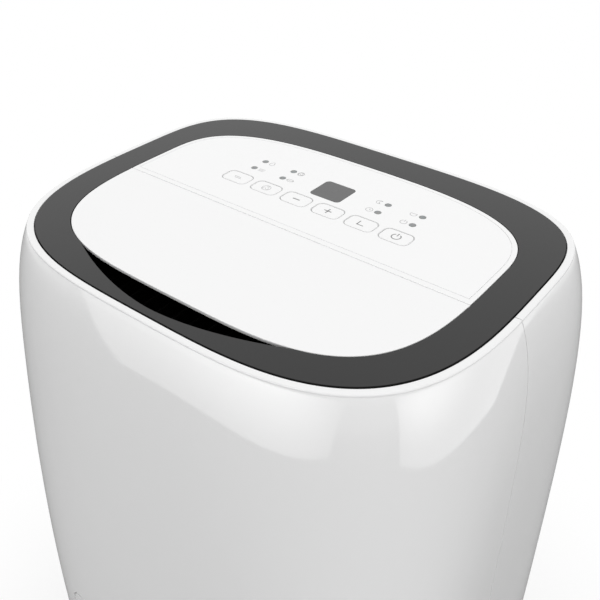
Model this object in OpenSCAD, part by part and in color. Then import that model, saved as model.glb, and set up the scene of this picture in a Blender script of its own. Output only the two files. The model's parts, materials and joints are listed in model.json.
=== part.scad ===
// Portable compressor dehumidifier on four castors, in millimetres.
// X runs to the right along the front, Y to the back and Z up from the floor.

/* [Overall] */
// Height of the top face above the floor
top_z = 530; // [515:5:560]
// Width of the dark trim ring round the top
ring_w = 314; // [306:2:322]
// Depth of the dark trim ring round the top
ring_d = 244; // [240:2:250]
// How far behind the middle the body is widest
widest_back = 28; // [24:1:30]
// Squareness of the front corners, where 2 is an ellipse
front_square = 3.45; // [3.3:0.05:3.8]
// Squareness of the rear corners, where 2 is an ellipse
rear_square = 3.6; // [3.5:0.05:3.9]

/* [Casing] */
// Height at which the white shells stand on the base
shell_z = 34; // [32:1:36]
// Wall thickness of the shells, measured to the side
wall = 3; // [2.6:0.1:3.2]
// Width of the bright lip outside the trim ring
lip_w = 4.6; // [4:0.1:5.5]
// How far the sides swell out beyond the lip
bulge = 13.4; // [12:0.2:15]
// Depth below the lip over which most of the swelling happens
bulge_len = 30; // [26:1:34]
// How much squarer the front corners are at the foot than at the ring
front_growth = 3; // [2:0.2:3.4]
// How much squarer the rear corners are at the foot than at the ring
rear_growth = 2; // [1.6:0.2:2.4]
// How far the sides tuck in again at the foot
tuck = 10; // [8:0.5:11]
// Width of the open seam between front and rear shell
seam_gap = 0.5; // [0.3:0.1:0.8]

/* [Top] */
// Width of the trim ring at the front
band_front = 20; // [19:0.5:21]
// Width of the trim ring at each side
band_side = 22; // [21:0.5:23]
// Width of the trim ring at the back
band_rear = 25.5; // [24:0.5:26]
// Length of the finger slot in front of the flap
slot_len = 164; // [150:2:170]
// Reach of the finger slot into the trim ring
slot_reach = 15.2; // [12:0.2:15.6]
// Thickness of the outlet flap
flap_t = 2.2; // [2:0.1:2.6]

/* [Keys] */
// Distance from key to key
key_pitch = 26; // [25:0.5:27]
// Width of a key cap
key_w = 20.4; // [19:0.2:21]
// Depth of a key cap
key_d = 13.4; // [12:0.2:14]
// Travel of a key when it is pressed
key_travel = 0.6; // [0.4:0.1:0.7]

/* [Castors] */
// Radius of a castor wheel
wheel_r = 14; // [13:0.5:14.5]
// Distance from the swivel to the axle
castor_trail = 9; // [7:0.5:10]

/* [Tank] */
// Width of the water tank
tank_w = 224; // [210:2:224]
// Height of the water tank below its lid
tank_h = 130; // [120:2:130]

/* [Hidden] */
$fn = 64;
over = 1;             // overshoot of a cutting shape past the face it cuts

// Colours
white = "#f4f5f6";
anthracite = "#45474a";
jet = "#18191b";
light_grey = "#b9bcbf";
mid_grey = "#84888c";
steel = "#a7abb0";
copper = "#b87445";
pcb_green = "#27593d";
clear_blue = "#cfe0ea";

// Outline of the body. A body outline is the ring's outline moved out by some distance.
ring_front = ring_d / 2 + widest_back;
ring_rear = ring_d / 2 - widest_back;
depth_gain = 0.95;    // growth of the body to front and back for each mm to the sides
panel_hw = ring_w / 2 - band_side;
panel_front = ring_front - band_front;
panel_rear = ring_rear - band_rear;
panel_front_square = 3.75;
panel_rear_square = 3.0;

// Heights and edges of the top
lip_z = top_z - 0.6;  // top of the white lip
lip_t = 7;            // depth of the solid lip
lip_r = 2;            // rounding of the lip's outer edge
front_corner_len = 245;   // depth below the lip over which the front corners get squarer
rear_corner_len = 131;
tuck_len = 45;        // height of the foot's tuck
ring_gap = 0.8;       // shadow gap between ring and lip
seat_z = lip_z - lip_t;
seam_y = -2.8;
deck_z = 500;         // underside of the deck plate
deck_t = 3;
edge_gap = 0.45;      // gap round the white top panel
split_y = -7.4;       // front edge of the control panel
nose_r = 1.5;         // rounded rear edge of the flap, centred on its hinge
flap_axis_y = split_y - 0.4 - nose_r;
flap_axis_z = top_z - nose_r;
flap_pin_r = 1;
flap_pin_reach = 4;   // depth of a flap pin in the trim ring
run_gap = 0.05;       // radial clearance of a turning fit
window_y = -54;       // middle of the outlet window
window_w = 216;
window_d = 84;
slot_front = -panel_front + widest_back - slot_reach;
slot_back = -86;      // the slot's cutter ends under the flap
tip_y = widest_back - panel_front
  * pow(1 - pow(slot_len / 2 / panel_hw, panel_front_square), 1 / panel_front_square);
slot_power = 1.8;     // 2 would make the slot's front edge a parabola
plate_t = 2.2;        // thickness of the control panel
overlay_t = 0.5;
overlay_inset = 3.5;
key_y = 27;
key_r = 4;            // corner radius of a key cap
key_gap = 0.3;
display_w = 24;
display_d = 22.4;
display_y = 50.5;
led_r = 2.3;
led_x = [-2.52 * key_pitch, -1.52 * key_pitch, 1.52 * key_pitch, 2.52 * key_pitch];
led_y = [45.3, 57.7];
board_z = 516;
board_t = 1.6;
switch_top = 520.8;

// Castors
castor_x = 108;
castor_front_y = -82;
castor_rear_y = 90;
stem_r = 4;
stem_top = 50;
axle_r = 2.5;
wheel_w = 12;
fork_z = shell_z - 4; // underside of the fork's plate

// Air path
fan_z = 350;
fan_r = 72;
scroll_y0 = -62;
scroll_y1 = 6;
scroll_top = 455;
scroll_wall = 2.5;
scroll_start = 70;    // angle of the scroll's tongue above the +X side
scroll_r0 = 80;
scroll_r1 = 110;
tongue_x = 27;
shaft_r = 4;
part_t = 3;           // thickness of the partition
part_hw = 146;
tray_z = 222;
coil_hw = 84;
coil_top = 458.5;
coil_z = tray_z + 2.5;
coil_tubes = 12;      // passes of the tube from side to side
coil_pitch = (coil_top - coil_z) / (coil_tubes + 1);
condenser_y = 37;     // middle of the condenser
evaporator_y = 73;    // middle of the evaporator
coil_half = 11;       // half depth of a coil
low_tube_z = coil_z + coil_pitch;
high_tube_z = coil_z + coil_tubes * coil_pitch;
housing_top = 466;
housing_hw = 110;
housing_y1 = 125;
filter_y0 = 129.3;
filter_y1 = 132.7;
grille_hw = 111;
grille_z0 = 246;
grille_z1 = 464;

// Tank
tank_z = 56;
tank_y0 = -120;
tank_y1 = -3;
tank_wall = 2.5;
lid_t = 3;
bay_hw = 118;         // half width of the opening for the tank front
bay_top = 205;
bay_corner = 12;      // rounding of the opening's top corners
fill = 34;            // more than the space between the casing's face and the tank
front_gap = 1;        // gap round the tank front
handle_y = -62;
handle_z = 180;
handle_arm = 38;
handle_rise = 13;
float_x = 96;
float_y = -24;
float_z = 172;
drain_x = -85;
drain_z = 229.5;
drain_r = 7;
gland_x = 70;
gland_z = 95;
gland_r = 12.2;
comp_x = -75;
comp_y = 66;
comp_r = 44;
comp_z = 56;
comp_top = 204;
drier_x = -122;
drier_z = 170;
drier_top = 230;
plan_count = 96;      // points round a plain outline

// ---------------------------------------------------------------- outlines

function signed_pow(v, e) = sign(v) * pow(abs(v), e);
function mix(a, b, t) = a + (b - a) * t;

// Point at angle t on an outline that is deeper in front of its widest line than behind
function plan_point(hw, front, rear, nf, nr, t) =
  let (s = sin(t), e = 2 / (s < 0 ? nf : nr))
  [hw * signed_pow(cos(t), e), widest_back + (s < 0 ? front : rear) * signed_pow(s, e)];

function plan(hw, front, rear, nf, nr) =
  [for (i = [0:plan_count - 1]) plan_point(hw, front, rear, nf, nr, 360 * i / plan_count)];

// Squareness of the body's corners at height z
function grown(square, growth, length, z) =
  square + growth * (1 - exp(-pow((lip_z - z) / length, 2)));
function front_square_at(z) = grown(front_square, front_growth, front_corner_len, z);
function rear_square_at(z) = grown(rear_square, rear_growth, rear_corner_len, z);

// Point at angle t on the body's outline at height z, moved outwards by some distance
function body_point(out, z, t) =
  plan_point(ring_w / 2 + out, ring_front + depth_gain * out, ring_rear + depth_gain * out,
    front_square_at(z), rear_square_at(z), t);

function body_plan(out, z) =
  [for (i = [0:plan_count - 1]) body_point(out, z, 360 * i / plan_count)];

function panel_plan(inset) =
  plan(panel_hw - inset, panel_front - inset, panel_rear - inset,
    panel_front_square, panel_rear_square);

// Rectangle with round corners, centred on the origin
function rounded(w, d, r, steps = 6) =
  [for (c = [0:3]) for (i = [0:steps])
    let (a = 90 * c + 90 * i / steps, sx = (c == 0 || c == 3) ? 1 : -1, sy = c < 2 ? 1 : -1)
    [sx * (w / 2 - r) + r * cos(a), sy * (d / 2 - r) + r * sin(a)]];

// Finger slot: curved at the front, closed straight across under the flap
function slot_plan(grow) =
  let (half = slot_len / 2 + grow, front = slot_front - grow)
  concat([for (i = [-14:14]) let (t = abs(i) / 14)
      [half * i / 14, mix(front, tip_y, pow(t, slot_power))]],
    [[half, slot_back], [-half, slot_back]]);

module block(x0, x1, y0, y1, z0, z1) {
  translate([x0, y0, z0]) cube([x1 - x0, y1 - y0, z1 - z0]);
}

module slab(points, z0, z1) {
  translate([0, 0, z0]) linear_extrude(z1 - z0) polygon(points);
}

module rounded_slab(w, d, r, z0, z1, at = [0, 0]) {
  translate([at.x, at.y, z0]) linear_extrude(z1 - z0) polygon(rounded(w, d, r));
}

// Cylinder along +Y from y0 to y1
module y_rod(r, x, z, y0, y1) {
  translate([x, y0, z]) rotate([-90, 0, 0]) cylinder(r = r, h = y1 - y0);
}

// Cylinder along +X from x0 to x1
module x_rod(r, y, z, x0, x1) {
  translate([x0, y, z]) rotate([0, 90, 0]) cylinder(r = r, h = x1 - x0);
}

// Plate that stands across Y, drawn as X and Z points
module y_plate(points, y0, y1) {
  translate([0, y1, 0]) rotate([90, 0, 0]) linear_extrude(y1 - y0) polygon(points);
}

// Round tube along a list of points joined by right angles, with rounded corners
module pipe(points, r, bend) {
  last = len(points) - 1;
  for (i = [0:last - 1]) {
    run = points[i + 1] - points[i];
    dir = run / norm(run);
    from = i == 0 ? 0 : bend;
    to = norm(run) - (i == last - 1 ? 0 : bend);
    translate(points[i] + from * dir)
      rotate([0, acos(dir.z), atan2(dir.y, dir.x)])
        cylinder(r = r, h = to - from, $fn = 32);
  }
  for (i = [1:last - 1]) {
    u = (points[i] - points[i - 1]) / norm(points[i] - points[i - 1]);
    v = (points[i + 1] - points[i]) / norm(points[i + 1] - points[i]);
    w = cross(u, v);
    c = points[i] + bend * (v - u);
    multmatrix([[-v.x, u.x, w.x, c.x], [-v.y, u.y, w.y, c.y], [-v.z, u.z, w.z, c.z]])
      rotate_extrude(angle = 90) translate([bend, 0]) circle(r = r, $fn = 32);
  }
}

// ---------------------------------------------------------------- curved casing

// How far the casing stands outside the ring's outline at height z
function side_out(z) = lip_w + bulge * (1 - exp((z - lip_z) / bulge_len))
  - tuck * exp((shell_z - z) / tuck_len);

// Y of the casing's back at x and z, or of a layer under its face
function rear_y(x, z, depth = 0) =
  let (out = side_out(z) - depth, n = rear_square_at(z))
  widest_back + (ring_rear + depth_gain * out)
    * pow(1 - pow(abs(x) / (ring_w / 2 + out), n), 1 / n);

// Heights from the foot to the seat of the lip, closer together at both ends
function side_zs(steps) =
  [for (i = [0:steps]) mix(shell_z, seat_z, (1 - cos(180 * i / steps)) / 2)];

outer_path = concat(
  [for (z = side_zs(16)) [side_out(z), z]],
  [for (z = [seat_z + 2.4, lip_z - lip_r]) [side_out(z), z]],
  [for (a = [30, 60, 90])
    [side_out(lip_z - lip_r) - lip_r * (1 - cos(a)), lip_z - lip_r * (1 - sin(a))]],
  [[ring_gap, lip_z]]);
inner_path = concat(
  [for (z = side_zs(len(outer_path) - 2)) [side_out(z) - wall, z]],
  [[ring_gap, seat_z]]);

// Angle at which an outline crosses the seam, counted forward from the widest line
function seam_angle(out, z, y) =
  asin(pow((widest_back - y) / (ring_front + depth_gain * out), front_square_at(z) / 2));

function front_turn(out, z, t) = let (a = seam_angle(out, z, seam_y - seam_gap / 2))
  -a - (180 - 2 * a) * t;
function rear_turn(out, z, t) = let (a = seam_angle(out, z, seam_y + seam_gap / 2))
  180 + a - (180 + 2 * a) * t;

// Wall between two profiles of equal length, each a list of [distance out, height].
// turn(out, z, t) gives the angle for t from 0 to 1, clockwise as seen from above.
module lofted_wall(outer, inner, cols, turn) {
  rows = len(outer);
  half = (cols + 1) * rows;
  skin = [for (path = [outer, inner]) for (j = [0:cols]) for (p = path)
    let (q = body_point(p[0], p[1], turn(p[0], p[1], j / cols))) [q.x, q.y, p[1]]];
  polyhedron(points = skin, faces = concat(
    [for (j = [0:cols - 1]) for (k = [0:rows - 2])
      let (a = j * rows + k, b = a + rows) [a, b, b + 1, a + 1]],
    [for (j = [0:cols - 1]) for (k = [0:rows - 2])
      let (a = half + j * rows + k, b = a + rows) [a, a + 1, b + 1, b]],
    [for (j = [0:cols - 1]) let (a = j * rows, b = a + rows)
      [b, a, a + half, b + half]],
    [for (j = [0:cols - 1]) let (a = (j + 1) * rows - 1, b = a + rows)
      [a, b, b + half, a + half]],
    [for (k = [0:rows - 2]) [k, k + 1, k + 1 + half, k + half]],
    [for (k = [0:rows - 2]) let (a = cols * rows + k) [a + 1, a, a + half, a + 1 + half]]));
}

// Piece of the casing's wall between two heights and two angles
module casing_patch(z0, z1, rows, t0, t1, cols, thick = wall) {
  zs = [for (i = [0:rows]) mix(z0, z1, i / rows)];
  lofted_wall([for (z = zs) [side_out(z), z]], [for (z = zs) [side_out(z) - thick, z]],
    cols, function(out, z, t) mix(t0, t1, t));
}

// Doorway outline with round top corners, as X and Z points
function doorway(hw, bottom, top, r) = concat(
  [[-hw, bottom], [hw, bottom]],
  [for (a = [0:15:90]) [hw - r + r * cos(a), top - r + r * sin(a)]],
  [for (a = [90:15:180]) [-hw + r + r * cos(a), top - r + r * sin(a)]]);

// Outline of the intake opening, grown all round, as X and Z points
function intake_plan(grow) =
  [for (p = rounded(2 * (grille_hw + grow), grille_z1 - grille_z0 + 2 * grow, 12 + grow))
    [p.x, p.y + (grille_z0 + grille_z1) / 2]];

module front_shell() {
  color(white) difference() {
    lofted_wall(outer_path, inner_path, 56, function(out, z, t) front_turn(out, z, t));
    y_plate(doorway(bay_hw, shell_z - over, bay_top, bay_corner), -200, -60);
  }
}

module rear_shell() {
  color(white) difference() {
    lofted_wall(outer_path, inner_path, 56, function(out, z, t) rear_turn(out, z, t));
    y_plate(intake_plan(1), 100, 200);
    y_rod(10, drain_x, drain_z, 100, 200);
    y_rod(gland_r + 0.3, gland_x, gland_z, 100, 200);
  }
}

// ---------------------------------------------------------------- top

module trim_ring() {
  color(anthracite) difference() {
    slab(body_plan(0, lip_z), seat_z, top_z);
    slab(panel_plan(0), seat_z - over, top_z + over);
    slab(slot_plan(0), seat_z - over, top_z + over);
    for (side = [-1, 1]) translate([side * panel_hw, 0, 0])
      x_rod(flap_pin_r + run_gap, flap_axis_y, flap_axis_z, -flap_pin_reach - 1,
        flap_pin_reach + 1);
  }
}

module deck_hole(grow, z0, z1) {
  slab(panel_plan(-grow), z0, z1);
  slab(slot_plan(grow), z0, z1);
}

module top_deck() {
  flange_t = 3;
  color(jet) {
    difference() {
      union() {
        deck_hole(deck_t, deck_z, seat_z);
        slab(body_plan(2, lip_z), seat_z - flange_t, seat_z);
      }
      deck_hole(0, deck_z + deck_t, top_z);
      rounded_slab(window_w, window_d, 10, deck_z - over, top_z, [0, window_y]);
    }
    for (x = [-74, 74]) for (y = [16, 64]) translate([x, y, deck_z + deck_t - 0.01])
      cylinder(r = 3.5, h = board_z - deck_z - deck_t + 0.01);
  }
}

module outlet_flap() {
  z0 = top_z - flap_t;
  reach = panel_hw - edge_gap - 0.2;
  color(white) {
    intersection() {
      slab(panel_plan(edge_gap), z0, top_z);
      block(-200, 200, -200, flap_axis_y, z0, top_z);
    }
    intersection() {
      slab(panel_plan(edge_gap), top_z - 2 * nose_r, top_z);
      block(-200, 200, flap_axis_y - 6, flap_axis_y, top_z - 2 * nose_r, top_z);
    }
    x_rod(nose_r, flap_axis_y, flap_axis_z, -reach, reach);
    x_rod(flap_pin_r, flap_axis_y, flap_axis_z, -panel_hw - flap_pin_reach,
      panel_hw + flap_pin_reach);
    for (x = [-96, -48, 0, 48, 96])
      block(x - 0.8, x + 0.8, -88, flap_axis_y - 4, z0 - 3, z0 + 0.5);
    block(-97, 97, -60, -58.4, z0 - 3, z0 + 0.5);
  }
}

module key_holes(z0, z1) {
  for (i = [0:5])
    rounded_slab(key_w + 2 * key_gap, key_d + 2 * key_gap, key_r + key_gap, z0, z1,
      [(i - 2.5) * key_pitch, key_y]);
}

module light_holes(z0, z1) {
  for (x = led_x) for (y = led_y) translate([x, y, z0]) cylinder(r = led_r + 0.1, h = z1 - z0);
}

module panel_half(inset, front, z0, z1) {
  intersection() {
    slab(panel_plan(inset), z0, z1);
    block(-200, 200, front, 200, z0, z1);
  }
}

module control_panel() {
  plate_z = top_z - plate_t;
  foot_z = deck_z + deck_t;
  color(white) {
    difference() {
      panel_half(edge_gap, split_y, foot_z, top_z);
      panel_half(edge_gap + 2, split_y + 2, foot_z - over, plate_z);
      panel_half(overlay_inset, split_y + overlay_inset, top_z - overlay_t, top_z + over);
      key_holes(plate_z - over, top_z);
      light_holes(plate_z - over, top_z);
      rounded_slab(display_w + 0.4, display_d + 0.4, 3.2, plate_z - over, top_z,
        [0, display_y]);
    }
  }
}

module control_overlay() {
  z0 = top_z - overlay_t;
  color(white) difference() {
    panel_half(overlay_inset + 0.15, split_y + overlay_inset + 0.15, z0, top_z);
    key_holes(z0 - over, top_z + over);
    light_holes(z0 - over, top_z + over);
    rounded_slab(display_w + 0.4, display_d + 0.4, 3.2, z0 - over, top_z + over,
      [0, display_y]);
  }
}

module key_cap(i) {
  at = [(i - 2.5) * key_pitch, key_y];
  flange_top = top_z - plate_t - 0.2;
  color(white) {
    rounded_slab(key_w, key_d, key_r, flange_top - 1, top_z, at);
    rounded_slab(key_w + 2.4, key_d + 2.4, key_r + 1, flange_top - 1.4, flange_top, at);
    rounded_slab(6, 4, 1, switch_top + key_travel + 0.2, flange_top - 1.2, at);
  }
}

module key_mode() { key_cap(0); }
module key_fan() { key_cap(1); }
module key_minus() { key_cap(2); }
module key_plus() { key_cap(3); }
module key_timer() { key_cap(4); }
module key_power() { key_cap(5); }

module display_window() {
  color(mid_grey) rounded_slab(display_w, display_d, 3, top_z - 1.2, top_z, [0, display_y]);
}

module indicator_lights() {
  color(light_grey) for (x = led_x) for (y = led_y)
    translate([x, y, board_z + board_t + 1.4]) cylinder(r = led_r, h = top_z - board_z - 3);
}

module control_board() {
  face = board_z + board_t;
  color(pcb_green) {
    rounded_slab(168, 60, 3, board_z, face, [0, 40]);
    for (i = [0:5]) translate([(i - 2.5) * key_pitch, key_y, face - 0.1]) {
      translate([-3, -3, 0]) cube([6, 6, 2.4]);
      cylinder(r = 1.7, h = switch_top - face + 0.1);
    }
    for (x = led_x) for (y = led_y) translate([x - 1.6, y - 1.6, face - 0.1]) cube([3.2, 3.2, 1.5]);
    rounded_slab(22, 18, 1, face - 0.1, top_z - 1.2, [0, display_y]);
    rounded_slab(14, 14, 0.5, face - 0.1, face + 1.6, [-28, 60]);
    block(52, 76, 61, 67, face - 0.1, face + 6);
  }
}

module outlet_grille() {
  frame_t = 4;
  vane_step = 12;
  color(anthracite) {
    difference() {
      rounded_slab(window_w + 10, window_d + 10, 14, deck_z - frame_t, deck_z, [0, window_y]);
      rounded_slab(window_w - 4, window_d - 4, 8, deck_z - frame_t - over, deck_z + over,
        [0, window_y]);
    }
    intersection() {
      rounded_slab(window_w - 3.5, window_d - 3.5, 8, deck_z - 10, deck_z + 2, [0, window_y]);
      union() {
        for (x = [-8 * vane_step:vane_step:8 * vane_step])
          block(x - 0.8, x + 0.8, -100, 0, deck_z - 10, deck_z + 2);
        block(-120, 120, window_y - 1, window_y + 1, deck_z - 6, deck_z + 2);
      }
    }
  }
}

// ---------------------------------------------------------------- air path

function scroll_radius(a) = mix(scroll_r0, scroll_r1, (a - scroll_start) / (360 - scroll_start));

// Spiral of the fan housing with its upward outlet, as X and Z points
function scroll_plan(grow, top) = concat(
  [for (i = [0:40]) let (a = mix(scroll_start, 360, i / 40), r = scroll_radius(a) + grow)
    [r * cos(a), fan_z + r * sin(a)]],
  [[scroll_r1 + grow, top], [tongue_x - grow, top]]);

module fan_scroll() {
  color(mid_grey) difference() {
    y_plate(scroll_plan(scroll_wall, scroll_top), scroll_y0, scroll_y1);
    y_plate(scroll_plan(0, scroll_top + over), scroll_y0 + scroll_wall,
      scroll_y1 - scroll_wall);
    y_rod(60, 0, fan_z, scroll_y1 - scroll_wall - over, scroll_y1 + over);
    y_rod(9, 0, fan_z, scroll_y0 - over, scroll_y0 + scroll_wall + over);
  }
}

module outlet_duct() {
  x_mid = (tongue_x + scroll_r1) / 2;
  mouth = [scroll_r1 - tongue_x, scroll_y1 - scroll_y0];
  top = deck_z - 4;
  color(mid_grey) difference() {
    hull() {
      rounded_slab(window_w + 8, window_d + 8, 12, top - 6, top, [0, window_y]);
      rounded_slab(mouth.x + 5, mouth.y, 3, scroll_top, scroll_top + 3,
        [x_mid, (scroll_y0 + scroll_y1) / 2]);
    }
    hull() {
      rounded_slab(window_w + 2, window_d + 2, 10, top - 7, top + over, [0, window_y]);
      rounded_slab(mouth.x, mouth.y - 5, 2, scroll_top - over, scroll_top + 2,
        [x_mid, (scroll_y0 + scroll_y1) / 2]);
    }
  }
}

module fan_impeller() {
  blades = 36;
  y0 = scroll_y0 + 8;
  y1 = scroll_y1 - 12;
  color(light_grey) {
    difference() {
      union() {
        y_rod(fan_r, 0, fan_z, y0, y0 + 2);
        y_rod(12, 0, fan_z, y0, y0 + 22);
      }
      y_rod(shaft_r, 0, fan_z, y0 - over, y1);
    }
    difference() {
      y_rod(fan_r, 0, fan_z, y1 - 3, y1);
      y_rod(fan_r - 3, 0, fan_z, y1 - 4, y1 + over);
    }
    for (i = [0:blades - 1]) translate([0, 0, fan_z]) rotate([0, 360 * i / blades, 0])
      translate([fan_r - 7, y0 + 1, 0]) rotate([0, 35, 0])
        translate([-6.4, 0, -0.6]) cube([12, y1 - y0 - 2, 1.2]);
  }
}

module fan_shaft() {
  color(steel) y_rod(shaft_r, 0, fan_z, scroll_y0 - 40, scroll_y0 + 28);
}

module fan_motor() {
  y0 = scroll_y0 - 36;
  color(mid_grey) difference() {
    union() {
      y_rod(36, 0, fan_z, y0 + 4, scroll_y0 - 4);
      y_rod(44, 0, fan_z, scroll_y0 - 4, scroll_y0);
      y_rod(12, 0, fan_z, y0, y0 + 5);
      for (i = [0:11]) translate([0, 0, fan_z]) rotate([0, 30 * i, 0])
        block(35, 38, y0 + 8, scroll_y0 - 2, -1.2, 1.2);
    }
    y_rod(shaft_r + run_gap, 0, fan_z, y0 - over, scroll_y0 + over);
  }
}

module partition() {
  color(light_grey) difference() {
    block(-part_hw, part_hw, scroll_y1, scroll_y1 + part_t, shell_z + 1.5, deck_z);
    y_rod(62, 0, fan_z, scroll_y1 - over, scroll_y1 + part_t + over);
    block(-14, 14, scroll_y1 - over, scroll_y1 + part_t + over, 208, tray_z);
  }
}

module coil_housing() {
  t = 2.5;
  y0 = scroll_y1 + part_t;
  color(light_grey) difference() {
    block(-housing_hw, housing_hw, y0, housing_y1, tray_z + 16, housing_top);
    block(t - housing_hw, housing_hw - t, y0 - over, housing_y1 + over, 0, housing_top - t);
    for (z = [low_tube_z, high_tube_z])
      block(-housing_hw - over, -housing_hw + t + over, 30, 90, z - 6, z + 8);
  }
}

// Finned coil standing in the drip tray, with its tube passing from side to side
module coil(mid) {
  fin_step = 6;
  color(steel) difference() {
    block(-coil_hw, coil_hw, mid - coil_half, mid + coil_half, coil_z, coil_top);
    for (x = [fin_step - coil_hw:fin_step:coil_hw - fin_step / 2])
      for (y = [mid - coil_half, mid + coil_half])
        block(x - 1.6, x + 1.6, y - 4, y + 4, coil_z + 4, coil_top - 4);
  }
  color(copper) for (k = [0:coil_tubes - 2]) {
    side = k % 2 == 0 ? 1 : -1;
    translate([side * coil_hw, mid, coil_z + coil_pitch * (k + 1.5)])
      rotate([90, 0, 0]) rotate([0, 0, -90 * side])
        rotate_extrude(angle = 180, $fn = 48)
          translate([coil_pitch / 2, 0]) circle(r = 4, $fn = 24);
  }
}

module condenser() { coil(condenser_y); }
module evaporator() { coil(evaporator_y); }

// Outer face of the rear shell at the drain
drain_face = rear_y(drain_x, drain_z);

module drip_tray() {
  y0 = scroll_y1 + part_t;
  y1 = housing_y1 + 1;
  sump_z = 212;
  color(white) difference() {
    union() {
      block(-housing_hw, housing_hw, y0, y1, tray_z, tray_z + 16);
      block(-12, 12, -30, 44, sump_z, tray_z);
      y_rod(drain_r, drain_x, drain_z, y1 - 2, drain_face - 5.4);
    }
    block(2 - housing_hw, housing_hw - 2, y0 + 2, y1 - 2, tray_z + 2.5, tray_z + 17);
    block(-10, 10, -28, 42, sump_z + 2, tray_z + 3);
    block(-9, 9, -27, -19, sump_z - over, sump_z + 3);
    y_rod(4.5, drain_x, drain_z, y1 - 5, drain_face);
  }
}

module drain_cap() {
  color(mid_grey) difference() {
    union() {
      y_rod(9, drain_x, drain_z, drain_face - 11, drain_face - 4);
      block(drain_x - 1.5, drain_x + 1.5, drain_face - 5, drain_face - 0.5, drain_z - 8,
        drain_z + 8);
    }
    y_rod(drain_r + run_gap, drain_x, drain_z, drain_face - 12, drain_face - 5);
  }
}

// ---------------------------------------------------------------- cooling circuit

module compressor() {
  crown = 16;
  color(jet) {
    translate([comp_x, comp_y, 0]) rotate_extrude() polygon(concat(
      [[0, comp_z], [comp_r - 8, comp_z], [comp_r - 8, comp_z + 3], [comp_r, comp_z + 8]],
      [for (a = [0:10:90])
        [comp_r * cos(a), comp_top - crown + crown * sin(a)]]));
    for (a = [90, 210, 330]) translate([comp_x, comp_y, comp_z]) rotate([0, 0, a])
      block(comp_r - 16, comp_r + 12, -9, 9, 0, 3);
  }
}

module compressor_feet() {
  z0 = shell_z + 1.5;
  color(jet) for (a = [90, 210, 330]) translate([comp_x, comp_y, 0]) rotate([0, 0, a])
    translate([comp_r + 3, 0, z0]) cylinder(r = 8, h = comp_z - z0);
}

module refrigerant_tubing() {
  end_x = 2 - coil_hw;              // each tube goes this far into its coil
  shell_x = comp_x - comp_r + 8;    // and this far into the compressor
  riser_x = -138;
  outer_x = -154;
  color(copper) {
    // Hot gas, from the compressor to the condenser's top
    pipe([[shell_x, 58, 160], [riser_x, 58, 160], [riser_x, condenser_y, 160],
      [riser_x, condenser_y, high_tube_z], [end_x, condenser_y, high_tube_z]], 4, 9);
    // Cool gas, from the evaporator's top back to the compressor
    pipe([[end_x, evaporator_y, high_tube_z], [riser_x, evaporator_y, high_tube_z],
      [riser_x, evaporator_y, 110], [shell_x, evaporator_y, 110]], 5, 10);
    // Liquid, from the condenser's foot to the drier
    pipe([[end_x, condenser_y, low_tube_z], [drier_x, condenser_y, low_tube_z],
      [drier_x, condenser_y, drier_top - 5]], 3, 9);
    // Capillary, from the drier to the evaporator's foot
    pipe([[drier_x, condenser_y, drier_z + 3], [drier_x, condenser_y, drier_z - 20],
      [outer_x, condenser_y, drier_z - 20], [outer_x, 86, drier_z - 20],
      [outer_x, 86, low_tube_z], [-97, 86, low_tube_z], [-97, evaporator_y, low_tube_z],
      [end_x, evaporator_y, low_tube_z]], 1.5, 5);
  }
}

module filter_drier() {
  color(copper) translate([drier_x, condenser_y, 0]) rotate_extrude() polygon(
    [[0, drier_z], [4, drier_z], [8, drier_z + 8], [8, drier_top - 8], [4, drier_top],
      [0, drier_top]]);
}

// ---------------------------------------------------------------- electrics

module electronics_box() {
  z0 = shell_z + 1.5;
  color(mid_grey) {
    difference() {
      rounded_slab(88, 76, 5, z0 + 19, z0 + 118, [80, 60]);
      rounded_slab(83, 71, 3, z0 + 21.5, z0 + 119, [80, 60]);
      x_rod(6, 60, z0 + 40, 30, 40);
    }
    rounded_slab(90, 78, 6, z0 + 118, z0 + 121, [80, 60]);
    for (x = [48, 100]) block(x, x + 4, 30, 70, z0, z0 + 19.5);
  }
}

module capacitor() {
  z0 = shell_z + 1.5;
  color(steel) translate([5, 100, z0]) {
    cylinder(r = 17, h = 62);
    for (x = [-6, 6]) translate([x - 0.4, -3, 61]) cube([0.8, 6, 9]);
  }
}

module humidity_sensor() {
  color(white) difference() {
    block(52, 78, 104, 122, housing_top, housing_top + 10);
    for (x = [56:4:74]) block(x, x + 2, 103, 123, housing_top + 4, housing_top + 11);
  }
}

module tank_switch() {
  color(jet) {
    block(60, 80, scroll_y1 - 7, scroll_y1, 130, 142);
    block(62, 78, scroll_y1 - 8.2, scroll_y1 - 6.9, 140, 141);
  }
}

module cord_gland() {
  flange = 2;         // how far the inner flange reaches past the hole, and its thickness
  low_z = gland_z - gland_r - flange;
  inside = rear_y(gland_x + gland_r + flange, low_z, wall) - 0.2;
  y0 = inside - flange;
  y1 = rear_y(gland_x, gland_z) + 3.5;
  color(jet) difference() {
    union() {
      y_rod(gland_r, gland_x, gland_z, y0, y1);
      y_rod(gland_r + flange, gland_x, gland_z, y0, inside);
    }
    y_rod(4.2, gland_x, gland_z, y0 - over, y1 + over);
  }
}

// ---------------------------------------------------------------- rear intake

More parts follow.
